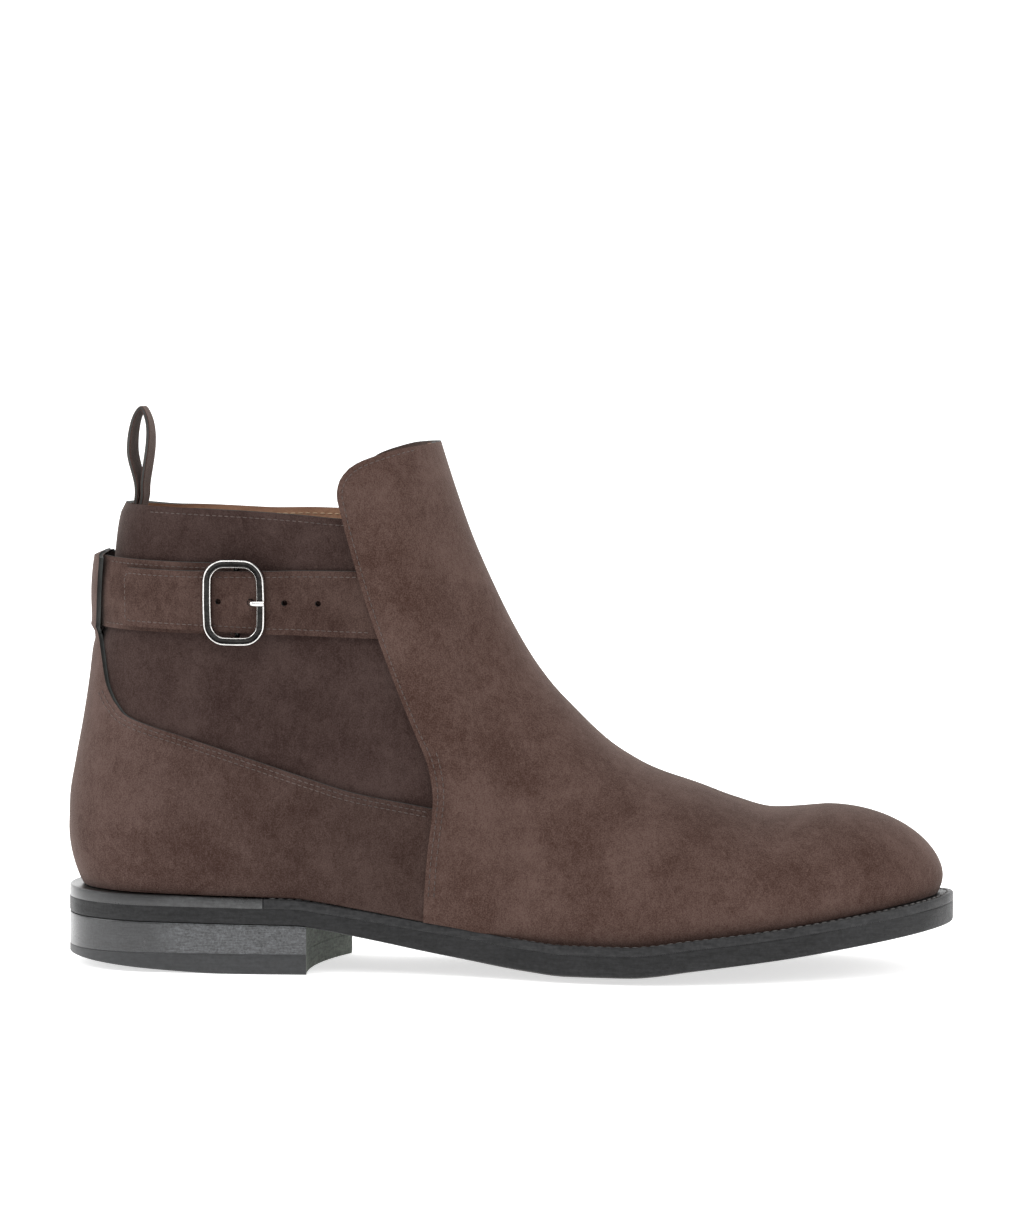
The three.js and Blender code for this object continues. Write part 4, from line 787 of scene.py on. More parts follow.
STRAP_LOW = STRAP_HEIGHT - STRAP_WIDTH / 2
STRAP_FLARE = 1.4
STRAP_HIGH = STRAP_HEIGHT + STRAP_WIDTH / 2 + STRAP_FLARE
KEEPER_TOP = STRAP_HIGH + 2 * OVERLAY
foxing_knots = [(at * SOLE_LENGTH, up * BACK_HEIGHT) for at, up in zip(FOXING_ROWS["at"], FOXING_ROWS["up"])]
foxing_knots[-1] = (flap_at(foxing_knots[-1][1]) + FOXING_UNDERLAP, foxing_knots[-1][1])


def rounded_line(knots, count):
    """A Catmull-Rom line through the knots."""
    knots = np.array([knots[0], *knots, knots[-1]], float)
    made = []
    for a, b, c, d in zip(knots[:-3], knots[1:-2], knots[2:-1], knots[3:]):
        for t in np.arange(count) / count:
            made.append(0.5 * (2 * b + (c - a) * t + (2 * a - 5 * b + 4 * c - d) * t**2 + (3 * b - a - 3 * c + d) * t**3))
    return np.array([*made, knots[-1]])


foxing_curve = rounded_line(foxing_knots, 8)
KEEPER_LEAN = 1.8
FOXING_LINE = np.concatenate([[(-40, KEEPER_TOP), (foxing_curve[0][0] + KEEPER_LEAN, KEEPER_TOP)], foxing_curve])[::-1]
BUCKLE_X = 0.206 * SOLE_LENGTH
STRAP_FALL = 0.018
STRAP_TIP_X = 0.078 * SOLE_LENGTH


def strap_middle(x):
    return STRAP_HEIGHT - STRAP_FALL * (x - BUCKLE_X)


# Height of each layer
# How high the faces of each piece lie over the upper's own surface.
over_back_strap = GAP + STRAP_THICKNESS + GAP
over_bar = 2 * GAP + 2 * BUCKLE_BAR_RADIUS + GAP


def flap_lift(p):
    behind = flap_at(p[:, 2]) + 4 * FOXING_UNDERLAP - p[:, 0]
    return mix(GAP, max(FLAP_LIFT, over_back_strap), smooth(behind / (2 * FOXING_UNDERLAP)))


KEEPER_RAMP = 3.5
KEEPER_STAND_OFF, STRAP_STAND_OFF = 2.2, 3.2
STAND_OFF_FROM, STAND_OFF_FADE = 15, 9


def keeper_lift(p):
    inside = np.minimum(p[:, 2] - (STRAP_LOW - KEEPER_RAMP), STRAP_HIGH + KEEPER_RAMP - p[:, 2])
    upright = KEEPER_STAND_OFF * smooth((p[:, 2] - STRAP_LOW) / STRAP_WIDTH)
    return mix(GAP, KEEPER_LIFT + upright, smooth(inside / KEEPER_RAMP))


def back_lift(p):
    """The strap stays upright round the back, so its top stands off the leaning shaft."""
    upright = STRAP_STAND_OFF * smooth((p[:, 2] - STRAP_LOW) / STRAP_WIDTH)
    return GAP + upright * (1 - smooth((p[:, 0] - STAND_OFF_FROM) / STAND_OFF_FADE))


def tip_lift(p):
    ahead = p[:, 0] - (BUCKLE_X + BUCKLE_WIDTH / 2)
    return mix(over_bar, GAP, smooth(ahead / (1.4 * FOXING_UNDERLAP)))


def level(height):
    return lambda p: np.full(len(p), float(height))


def raised(lift, by):
    return lambda p: lift(p) + by


# Upper
# Quarters and lining as one hollow piece: suede outside, tan leather inside, a rounded cut edge at the collar.
inner_side = np.arange(SKIN.shape[0])[:, None] >= lateral_grid.shape[0]
hang = np.where(inner_side, collar_drop(SKIN[..., 0]), 0)
upper_field = collar_at(SKIN[..., 0]) - hang - SKIN[..., 2]
upper = leather_sheet("upper_quarters", SKIN, SKIN_OUT, upper_field, level(-WALL), level(0),
                      [quarter_suede, lining_leather, cut_edge])
finished(upper, "upper")

# Vamp
# One large piece over the whole foot. Its rear edge stands free from the foxing up to the shaft's top.
vamp_field = polyline_distance(*side_view(flap_lift), FLAP_LINE)
# Its cut edge takes the dark edge paint, so the dark line along its free rear edge is painted shade.
vamp = leather_sheet("vamp_suede", SKIN, SKIN_OUT, vamp_field, flap_lift, raised(flap_lift, OVERLAY),
                     [vamp_suede, flesh_side, cut_edge], lip=0.6)
finished(vamp, "vamp")

# Heel foxing
# The counter's cover, with the strip up the back seam that holds the strap like a keeper.
FOXING_END = flap_at(foxing_knots[-1][1]) + FOXING_UNDERLAP
foxing_x, foxing_z = side_view(raised(keeper_lift, OVERLAY))
foxing_field = np.minimum(polyline_distance(foxing_x, foxing_z, FOXING_LINE), FOXING_END - foxing_x)
foxing = leather_sheet("foxing_suede", SKIN, SKIN_OUT, foxing_field, keeper_lift, raised(keeper_lift, OVERLAY + 0.3),
                       [foxing_suede, flesh_side, cut_edge], lip=0.5)
finished(foxing, "heel_foxing")


# Strap grids
# A strap's grid follows the shaft round the back: "share" is 0 at the back seam and grows to the front on each side.
def shaft_line(side, share, rise):
    """Points at a height above the strap's middle line, on the upper's surface."""
    x0 = mix(back_at(STRAP_HEIGHT), divide_at(STRAP_HEIGHT), share)
    z = strap_middle(x0) + rise
    x = mix(back_at(z), divide_at(z), share)
    y = backbone(x) + side * np.where(share <= 0, 0, upper_half(side, x, z))
    return np.stack([x, y, z], axis=-1)


def share_of(x):
    return (x - back_at(STRAP_HEIGHT)) / (divide_at(STRAP_HEIGHT) - back_at(STRAP_HEIGHT))


def strap_grid(columns, rises):
    """columns: pairs of side and share, going round from the lateral front to the medial front."""
    points = np.array([shaft_line(side, np.full(len(rises), share), np.array(rises)) for side, share in columns])
    outs = -grid_normals(points)
    points = points - outs * np.array([crease_depth(side, p[:, 0], p[:, 2]) for (side, _), p in zip(columns, points)])[..., None]
    return points, outs


half = STRAP_WIDTH / 2
UNDER_FLAP = flap_at(STRAP_HEIGHT) + FOXING_UNDERLAP

# Back strap
# Runs from under the vamp's inner edge round the back, through the keeper, to the buckle's middle bar.
strap_end = share_of(BUCKLE_X - BUCKLE_BAR_RADIUS - 3 * GAP)
round_lateral = [(LATERAL, strap_end * t**2) for t in np.linspace(1, 0, 70)]
round_medial = [(MEDIAL, share_of(UNDER_FLAP) * t**2) for t in np.linspace(0, 1, 110)[1:]]
band_points, band_outs = strap_grid(round_lateral + round_medial, np.linspace(-half, half + STRAP_FLARE, 26))
back_strap = leather_sheet("back_strap_suede", band_points, band_outs, np.ones(band_points.shape[:2]),
                           back_lift, raised(back_lift, STRAP_THICKNESS), [strap_suede, flesh_side, cut_edge], lip=0.3)
finished(back_strap, "back_strap")

# Buckled strap
# Squared tip with small rounded corners over the back strap, four punched holes, root under the vamp.
TIP_CORNER = 2.6
HOLE_RADIUS = 1.0
PRONG_HOLE_X = BUCKLE_X + 0.48 * STRAP_HOLE_PITCH
tip_columns = [(LATERAL, share_of(x)) for x in np.linspace(UNDER_FLAP, STRAP_TIP_X - 0.5, 190)]
tip_points, tip_outs = strap_grid(tip_columns, np.linspace(-half - 0.5, half + 0.5, 56))


def strap_half(x):
    return mix(STRAP_TIP_WIDTH / 2, half, smooth((x - STRAP_TIP_X) / (UNDER_FLAP - STRAP_TIP_X)))


def strap_shape(x, z):
    """Distance inside the strap's outline, less its holes."""
    up = np.abs(z - strap_middle(x))
    side_room, end_room = strap_half(x) - up, x - STRAP_TIP_X
    in_corner = (side_room < TIP_CORNER) & (end_room < TIP_CORNER)
    corner = TIP_CORNER - np.hypot(TIP_CORNER - side_room, TIP_CORNER - end_room)
    room = np.where(in_corner, corner, np.minimum(side_room, end_room))
    for i in range(4):
        hole_x = PRONG_HOLE_X + (i - 1) * STRAP_HOLE_PITCH
        radius = HOLE_RADIUS * (1.35 if i == 1 else 1)
        room = np.minimum(room, np.hypot(x - hole_x, z - strap_middle(hole_x)) - radius)
    return room


tip_field = strap_shape(tip_points[..., 0], tip_points[..., 2])
buckle_strap = leather_sheet("buckle_strap_suede", tip_points, tip_outs, tip_field, tip_lift,
                             raised(tip_lift, STRAP_THICKNESS), [strap_suede, flesh_side, cut_edge], lip=0.3)
finished(buckle_strap, "buckle_strap")

# Seams
# Each seam is a line over a piece's outer face. Geometry nodes lay one small thread loop after another along it.
seams = {"brown": [], "tan": [], "black": []}
PROUD = 0.08


def on_side(side, line, lift):
    """A side-view line as points on the lateral or medial face, raised by lift, with outward directions."""
    line = np.array(line, float)
    x, z = line[:, 0], line[:, 1]

    def at(px, pz):
        return np.stack([px, backbone(px) + side * upper_half(side, px, pz), pz], axis=-1)

    out = np.cross(at(x + 0.5, z) - at(x - 0.5, z), at(x, z + 0.5) - at(x, z - 0.5)) * -side
    out /= np.linalg.norm(out, axis=1, keepdims=True)
    base = at(x, z)
    lifted = lift(base)[:, None] - crease_depth(side, x, z)[:, None]
    return base + out * lifted, out


def shifted_line(line, inset):
    """A side-view line moved to its right by inset."""
    line = np.array(line, float)
    run = np.gradient(line, axis=0)
    run /= np.maximum(np.linalg.norm(run, axis=1, keepdims=True), 1e-9)
    return line + np.stack([run[:, 1], -run[:, 0]], axis=1) * inset


flap_seam = FLAP_LINE[::-1]
flap_seam = flap_seam[(flap_seam[:, 1] > 27) & ((flap_seam[:, 0] < TOP_FRONT_X - 7) | (flap_seam[:, 1] < FLAP_CORNER))]
low_flap_seam = flap_seam[flap_seam[:, 1] < 0.42 * FRONT_HEIGHT]
foxing_seam = foxing_curve[(foxing_curve[:, 0] > 17) & (foxing_curve[:, 0] < flap_at(foxing_curve[:, 1]) - 1)]
for side in (LATERAL, MEDIAL):
    seams["brown"].append(on_side(side, shifted_line(flap_seam, 1.8), raised(flap_lift, OVERLAY + PROUD)))
    seams["brown"].append(on_side(side, shifted_line(low_flap_seam, 3.7), raised(flap_lift, OVERLAY + PROUD)))
    for inset in (1.4, 3.0):
        seams["brown"].append(on_side(side, shifted_line(foxing_seam, inset), raised(keeper_lift, OVERLAY + 0.3 + PROUD)))

collar_x = np.linspace(33, flap_at(150.0) + 4, 60)
for side in (LATERAL, MEDIAL):
    drop = collar_drop(collar_x) if side == MEDIAL else 0
    collar_seam = np.stack([collar_x, collar_at(collar_x) - drop - 2.2], axis=1)
    seams["brown"].append(on_side(side, collar_seam, level(0)))
    inner_points, inner_out = on_side(side, collar_seam, level(-WALL))
    seams["tan"].append((inner_points, -inner_out))


def band_seam(rise, columns, lift):
    points, outs = strap_grid(columns, [rise - 0.4, rise, rise + 0.4])
    line, out = points[:, 1], outs[:, 1]
    return line + out * lift(line)[:, None], out


top_of_back = raised(back_lift, STRAP_THICKNESS)
outer_back = [c for c in round_lateral if c[1] > share_of(18)]
inner_back = [c for c in round_medial if share_of(18) < c[1] < share_of(flap_at(STRAP_HEIGHT))]
for columns in (outer_back, inner_back):
    for rise in (-half + 1.7, half + STRAP_FLARE - 1.7):
        seams["brown"].append(band_seam(rise, columns, top_of_back))

SEAM_INSET = 2.0
strap_x = np.linspace(flap_at(STRAP_HEIGHT), STRAP_TIP_X + SEAM_INSET + 1.2, 80)
top_row = [(x, strap_middle(x) + strap_half(x) - SEAM_INSET) for x in strap_x]
bottom_row = [(x, strap_middle(x) - strap_half(x) + SEAM_INSET) for x in strap_x[::-1]]
tip_row = [(STRAP_TIP_X + SEAM_INSET, strap_middle(STRAP_TIP_X) + r)
           for r in np.linspace(STRAP_TIP_WIDTH / 2 - SEAM_INSET - 1.2, -STRAP_TIP_WIDTH / 2 + SEAM_INSET + 1.2, 14)]
seams["brown"].append(on_side(LATERAL, top_row + tip_row + bottom_row, raised(tip_lift, STRAP_THICKNESS)))

# Sole
# Layers of the sole between curved heights. A plate has rungs across and a rounded edge; a strip follows the edge.
STATIONS = SOLE_LENGTH * (1 - np.cos(np.linspace(0, math.pi, 241))) / 2


def plus(height, by):
    return lambda x, y: height(x, y) + by


def sole_edge_at(side, x, inset):
    x = np.atleast_1d(np.asarray(x, float))
    step = 0.3

    def at(place):
        held = clamp(place, 0, SOLE_LENGTH)
        return np.stack([held, backbone(held) + side * HALF[side](held) * toe_round(held, SOLE_LENGTH) * heel_round(held, 0)], -1)

    run = at(x + step) - at(x - step)
    run[x <= 0] = (0, side)
    run[x >= SOLE_LENGTH] = (0, -side)
    run /= np.linalg.norm(run, axis=1, keepdims=True)
    return at(x) + np.stack([side * run[:, 1], -side * run[:, 0]], -1) * np.reshape(inset, (-1, 1))


def plate(name, ends, low, high, profile, materials, bow=0.0, rungs=29):
    """ends: stations of the lateral and the medial side. profile: rows of height share and inset of the edge."""
    edges = {}
    for side, places in zip((LATERAL, MEDIAL), ends):
        edges[side] = [sole_edge_at(side, places, inset) for _, inset in profile]
    count, last = len(ends[0]), len(profile) - 1
    bows = bow * (np.arange(count) / (count - 1)) ** 3
    verts, ids = [], {}

    def put(key, x, y, share):
        ids[key] = len(verts)
        verts.append((x, y, float(mix(low(x, y), high(x, y), share))))

    for i in range(count):
        for j in range(rungs + 1):
            share = j / rungs
            for top, row in ((0, 0), (1, last)):
                a, b = edges[LATERAL][row][i], edges[MEDIAL][row][i]
                x = mix(a[0], b[0], share) - bows[i] * (1 - (2 * share - 1) ** 2)
                put(("face", top, i, j), x, mix(a[1], b[1], share), top)
        for side in (LATERAL, MEDIAL):
            for k in range(1, last):
                x, y = edges[side][k][i]
                put(("wall", side, i, k), x, y, profile[k][0])

    def wall(side, i, k):
        if k in (0, last):
            return ids[("face", int(k == last), i, 0 if side == LATERAL else rungs)]
        return ids[("wall", side, i, k)]

    faces, slots = [], []

    def face(ring, slot):
        faces.append(ring)
        slots.append(slot)

    for i in range(count - 1):
        for j in range(rungs):
            face([ids[("face", 1, i, j)], ids[("face", 1, i + 1, j)], ids[("face", 1, i + 1, j + 1)], ids[("face", 1, i, j + 1)]], 0)
            face([ids[("face", 0, i, j)], ids[("face", 0, i, j + 1)], ids[("face", 0, i + 1, j + 1)], ids[("face", 0, i + 1, j)]], 1)
        for k in range(last):
            face([wall(LATERAL, i, k), wall(LATERAL, i + 1, k), wall(LATERAL, i + 1, k + 1), wall(LATERAL, i, k + 1)], 0)
            face([wall(MEDIAL, i, k + 1), wall(MEDIAL, i + 1, k + 1), wall(MEDIAL, i + 1, k), wall(MEDIAL, i, k)], 0)
    end = count - 1
    for j in range(rungs):
        face([ids[("face", 0, end, j)], ids[("face", 0, end, j + 1)], ids[("face", 1, end, j + 1)], ids[("face", 1, end, j)]], 2)
    face([wall(LATERAL, end, k) for k in range(last + 1)], 2)
    face([wall(MEDIAL, end, k) for k in reversed(range(last + 1))], 2)
    return cleaned(mesh_object(name, verts, faces, slots, materials, sharp=35))


def cleaned(piece):
    """Merges the corners that meet at the sole's ends and drops what has no area."""
    work = bmesh.new()
    work.from_mesh(piece.data)
    bmesh.ops.remove_doubles(work, verts=work.verts, dist=2e-6)
    bmesh.ops.dissolve_degenerate(work, edges=work.edges, dist=1e-6)
    work.to_mesh(piece.data)
    work.free()
    return piece


def strip(name, path, section, low, high, materials):
    """A strip along the sole's edge. section: rows of inset and height share, round the strip's own outline."""
    verts, faces = [], []
    for inset, share in section:
        corners = np.array([sole_edge_at(side, x, inset)[0] for side, x in path])
        z = mix(low(corners[:, 0], corners[:, 1]), high(corners[:, 0], corners[:, 1]), share)
        verts.append(np.column_stack([corners, z]))
    rows, count = len(section), len(path)
    verts = np.stack(verts, axis=1).reshape(-1, 3)
    for i in range(count - 1):
        for k in range(rows):
            after = (k + 1) % rows
            faces.append([i * rows + k, (i + 1) * rows + k, (i + 1) * rows + after, i * rows + after])
    faces.append(list(reversed(range(rows))))
    faces.append([(count - 1) * rows + k for k in range(rows)])
    return mesh_object(name, verts, faces, [0] * len(faces), materials, sharp=35)


OUTSOLE_EDGE = [(0, 0.7), (0.04, 0.25), (0.14, 0.02), (0.5, 0.0), (0.9, 0.0), (0.98, 0.02), (1, 0.1)]
outsole = plate("outsole_leather", (STATIONS, STATIONS), tread_at, plus(outsole_top, 0.1), OUTSOLE_EDGE,
                [sole_edge, tread_leather, sole_edge])
finished(outsole, "outsole")

heel_ends = []
for side in (LATERAL, MEDIAL):
    breast = HEEL_LENGTH + side * BREAST_SKEW
    heel_ends.append(breast * (1 - np.cos(np.linspace(0, math.pi / 2, 121))))


def heel_floor(x, y):
    return HEEL_REAR_BEVEL * clamp(1 - x / (0.62 * HEEL_LENGTH)) ** 1.4


LIFT_EDGE = [(0, 0.15), (0.02, 0.08), (0.1, 0.05), (0.5, 0.1), (0.94, 0.05), (0.98, 0.08), (1, 0.15)]
heel_stack = plate("heel_lifts", heel_ends, lambda x, y: TOP_PIECE_HEIGHT + 0.1 + 0 * x, plus(tread_at, -0.1), LIFT_EDGE,
                   [heel_edge, heel_edge, heel_breast], bow=HEEL_BREAST_BOW)
finished(heel_stack, "heel_stack")
TOP_PIECE_EDGE = [(0, 0.7), (0.05, 0.2), (0.14, 0.0), (0.92, 0.02), (0.98, 0.04), (1, 0.12)]
top_piece = plate("heel_top_rubber", heel_ends, heel_floor, lambda x, y: TOP_PIECE_HEIGHT + 0 * x, TOP_PIECE_EDGE,
                  [heel_rubber, heel_rubber, heel_breast], bow=HEEL_BREAST_BOW)
finished(top_piece, "heel_top_piece")

STRIP_SECTION = [(0.1, 0), (0, 0.06), (0, 0.3), (0, 0.7), (0.12, 0.9), (0.5, 1), (12, 1), (12, 0)]
front_places = [x for x in STATIONS if x > RAND_LENGTH + 1]
welt_path = [(LATERAL, x) for x in [RAND_LENGTH + GAP, *front_places]]
welt_path += [(MEDIAL, x) for x in [*front_places[-2::-1], RAND_LENGTH + GAP]]
welt = strip("welt_leather", welt_path, STRIP_SECTION, plus(outsole_top, 0.14), welt_top, [welt_edge])
finished(welt, "welt")
back_places = [x for x in STATIONS if x < RAND_LENGTH - 1]
rand_path = [(MEDIAL, x) for x in [RAND_LENGTH, *back_places[::-1]]]
rand_path += [(LATERAL, x) for x in [*back_places[1:], RAND_LENGTH]]
rand = strip("heel_rand_leather", rand_path, STRIP_SECTION, plus(outsole_top, 0.14), welt_top, [rand_edge])
finished(rand, "heel_rand")

WELT_SEAM_INSET = 2.1
welt_seam = []
for side, x in welt_path[2:-2]:
    spot = sole_edge_at(side, x, WELT_SEAM_INSET)[0]
    welt_seam.append((spot[0], spot[1], float(welt_top(spot[0], spot[1]))))
seams["black"].append((np.array(welt_seam), np.tile((0.0, 0.0, 1.0), (len(welt_seam), 1))))


# Stitches
# The stitch that geometry nodes repeat: a short rounded thread, half sunk in the leather.
def stitch_mesh(name, length, radius, own_material):
    mesh = bpy.data.meshes.new(name)
    work = bmesh.new()
    bmesh.ops.create_uvsphere(work, u_segments=7, v_segments=5, radius=1.0)
    for vert in work.verts:
        z, x = vert.co.z, vert.co.x
        vert.co = Vector((z * length / 2, vert.co.y * radius, x * radius * 0.85)) * MM
    work.to_mesh(mesh)
    work.free()
    for face in mesh.polygons:
        face.use_smooth = True
    mesh.materials.append(own_material)
    made = bpy.data.objects.new(name, mesh)
    bpy.context.scene.collection.objects.link(made)
    return made


def stitching_nodes(name, stitch, own_material):
    tree = bpy.data.node_groups.new(name, "GeometryNodeTree")
    tree.interface.new_socket("Geometry", in_out="INPUT", socket_type="NodeSocketGeometry")
    pitch = tree.interface.new_socket("Stitch pitch", in_out="INPUT", socket_type="NodeSocketFloat")
    pitch.default_value = 0.0026
    tree.interface.new_socket("Geometry", in_out="OUTPUT", socket_type="NodeSocketGeometry")
    g = Graph(tree.nodes, tree.links)
    into = g.add("NodeGroupInput")
    curve = g.add("GeometryNodeMeshToCurve", {"Mesh": into.outputs["Geometry"]})
    spaced = g.add("GeometryNodeResampleCurve", {"Curve": curve.outputs[0], "Length": into.outputs["Stitch pitch"]}, mode="LENGTH")
    outward = g.add("GeometryNodeInputNamedAttribute", {"Name": "outward"}, data_type="FLOAT_VECTOR").outputs[0]
    tangent = g.add("GeometryNodeInputTangent").outputs[0]
    along_seam = g.add("FunctionNodeAlignRotationToVector", {"Vector": tangent}, axis="X")
    turned = g.add("FunctionNodeAlignRotationToVector", {"Rotation": along_seam.outputs[0], "Vector": outward},
                   axis="Z", pivot_axis="X")
    thread = g.add("GeometryNodeObjectInfo", {"Object": stitch})
    placed = g.add("GeometryNodeInstanceOnPoints", {"Points": spaced.outputs[0], "Instance": thread.outputs["Geometry"],
                                                    "Rotation": turned.outputs[0]})
    real = g.add("GeometryNodeRealizeInstances", {"Geometry": placed.outputs[0]})
    painted = g.add("GeometryNodeSetMaterial", {"Geometry": real.outputs[0], "Material": own_material})
    g.add("NodeGroupOutput", {"Geometry": painted.outputs[0]})
    return tree


def stitched(name, lines, length, radius, pitch, own_material):
    verts, edges, outward = [], [], []
    for points, outs in lines:
        start = len(verts)
        verts += metres(points).tolist()
        outward += outs.tolist()
        edges += [(start + i, start + i + 1) for i in range(len(points) - 1)]
    mesh = bpy.data.meshes.new(name + "_lines")
    mesh.from_pydata(verts, edges, [])
    field = mesh.attributes.new("outward", "FLOAT_VECTOR", "POINT")
    field.data.foreach_set("vector", np.array(outward).ravel())
    holder = bpy.data.objects.new(name + "_lines", mesh)
    bpy.context.scene.collection.objects.link(holder)
    stitch = stitch_mesh(name + "_stitch", length, radius, own_material)
    modifier = holder.modifiers.new("stitching", "NODES")
    modifier.node_group = stitching_nodes(name + " nodes", stitch, own_material)
    modifier["Socket_1"] = pitch * MM
    bpy.context.view_layer.update()
    graph = bpy.context.evaluated_depsgraph_get()
    real = bpy.data.meshes.new_from_object(holder.evaluated_get(graph))
    made = bpy.data.objects.new(name, real)
    bpy.context.scene.collection.objects.link(made)
    bpy.data.objects.remove(holder)
    bpy.data.objects.remove(stitch)
    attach(made, "root")
    return made


stitched("upper_stitches", seams["brown"], 1.6, 0.2, 2.1, brown_thread)
stitched("lining_stitches", seams["tan"], 2.0, 0.25, 2.6, tan_thread)
stitched("welt_stitches", seams["black"], 2.3, 0.42, 3.0, black_thread)


# Swept pieces
# A section carried along a line of frames, for the buckle, its prong and the pull loop.
def swept(name, rings, closed, materials, slots=None, sharp=40):
    count, size = len(rings), len(rings[0])
    faces, kinds = [], []
    for i in range(count if closed else count - 1):
        for k in range(size):
            a, b = i * size + k, i * size + (k + 1) % size
            after = ((i + 1) % count) * size
            faces.append([a, b, after + (k + 1) % size, after + k])
            kinds.append(slots[k] if slots else 0)
    if not closed:
        faces += [list(reversed(range(size))), [(count - 1) * size + k for k in range(size)]]
        kinds += [0, 0]
    return mesh_object(name, np.concatenate(rings), faces, kinds, materials, sharp)


def seat_on(x, z):
    """Origin and axes that run forwards, up and out from a place on the lateral side."""
    def at(px, pz):
        return np.array([px, float(backbone(px) - upper_half(LATERAL, px, pz)), pz])

    span = BUCKLE_WIDTH / 2
    forward = at(x + span, z) - at(x - span, z)
    forward /= np.linalg.norm(forward)
    rise = at(x, z + span) - at(x, z - span)
    out = np.cross(forward, rise)
    out /= np.linalg.norm(out)
    return at(x, z), forward, np.cross(out, forward), out


seat, seat_forward, seat_up, seat_out = seat_on(BUCKLE_X, strap_middle(BUCKLE_X))


def seated(points):
    points = np.atleast_2d(points)
    return seat + points[:, :1] * seat_forward + points[:, 1:2] * seat_up + points[:, 2:] * seat_out


# Buckle
# A rounded frame of dark nickel with bands of painted highlight on its curved shoulders, its middle bar, and the bright
# prong.
POLISHED = {"Metallic": 1.0}
dark_nickel = material("dark nickel", EDGE, {"Dark": rgb(0.012, 0.0115, 0.011), "Light": rgb(0.03, 0.029, 0.028),
                                             "Pore height": 0.02, "Shine low": 0.16, "Shine high": 0.24}, POLISHED)
# Bright nickel: the prong's metal, and the painted highlights on the frame's shoulders.
highlight_and_prong_nickel = material("bright nickel and painted highlight", EDGE, {"Dark": rgb(0.55, 0.535, 0.52), "Light": rgb(0.78, 0.765, 0.745),
                                                 "Pore height": 0.02, "Shine low": 0.14, "Shine high": 0.22}, POLISHED)
FRAME_BASE = over_bar + STRAP_THICKNESS + 2 * GAP
CORNER = 0.32 * BUCKLE_WIDTH - BUCKLE_BAR / 2


FRAME_BOW = 0.45


def frame_path(width, height, corner, count):
    """Points and outward directions round a rounded rectangle whose sides bow out a little."""
    made = []
    for quarter, (sx, sy) in enumerate(((1, 1), (-1, 1), (-1, -1), (1, -1))):
        middle = np.array([sx * (width / 2 - corner), sy * (height / 2 - corner)])
        for angle in np.linspace(quarter * math.pi / 2, (quarter + 1) * math.pi / 2, count):
            outward = np.array([math.cos(angle), math.sin(angle)])
            made.append((middle + outward * corner, outward))
    bowed = []
    for (first, out), (after, out_after) in zip(made, made[1:] + made[:1]):
        steps = 8 if np.allclose(out, out_after) else 1
        for share in np.arange(steps) / steps:
            x, y = mix(first, after, share)
            pull = FRAME_BOW * np.array([x / width * (2 * y / height) ** 2, y / height * (2 * x / width) ** 2]) * 2
            bowed.append(((x, y) - pull, mix(out, out_after, share)))
    return bowed


# Section of the frame's bar: offset across, height, and what shows from there on: 0 the dark nickel, 1 a band of
# painted highlight.
BAR_SECTION = [
    (-1.5, 0.5, 0), (-1.5, 1.45, 1), (-1.38, 1.9, 1), (-1.12, 2.14, 0), (-0.94, 2.2, 0), (-0.7, 2.04, 0), (0, 1.98, 0),
    (0.7, 2.04, 0), (0.84, 2.14, 1), (1.0, 2.2, 1), (1.22, 2.1, 0), (1.38, 1.85, 1), (1.5, 1.4, 0), (1.5, 0.5, 0),
    (1.0, 0.0, 0),
    (-1.0, 0.0, 0),
]
rings = []
for middle, outward in frame_path(BUCKLE_WIDTH - BUCKLE_BAR, BUCKLE_HEIGHT - BUCKLE_BAR, CORNER, 16):
    ring = [(*(middle + outward * across), FRAME_BASE + height) for across, height, _ in BAR_SECTION]
    rings.append(seated(np.array(ring)))
buckle = swept("buckle_frame_metal", rings, True, [dark_nickel, highlight_and_prong_nickel], [kind for _, _, kind in BAR_SECTION], 50)
finished(buckle, "buckle_frame")
bar_level = 2 * GAP + BUCKLE_BAR_RADIUS
bar_rings = []
bar_half = BUCKLE_HEIGHT / 2 - BUCKLE_BAR
for y, z in ((-bar_half - 1, FRAME_BASE + 0.6), (-bar_half - 0.6, bar_level + 1), (-bar_half, bar_level), (0, bar_level),
             (bar_half, bar_level), (bar_half + 0.6, bar_level + 1), (bar_half + 1, FRAME_BASE + 0.6)):
    turn = np.linspace(0, 2 * math.pi, 13)[:-1]
    ring = np.stack([BUCKLE_BAR_RADIUS * np.cos(turn), np.full(12, y), z + BUCKLE_BAR_RADIUS * np.sin(turn)], -1)
    bar_rings.append(seated(ring[::-1]))
middle_bar = swept("buckle_middle_bar", bar_rings, False, [dark_nickel])
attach(middle_bar, "root")

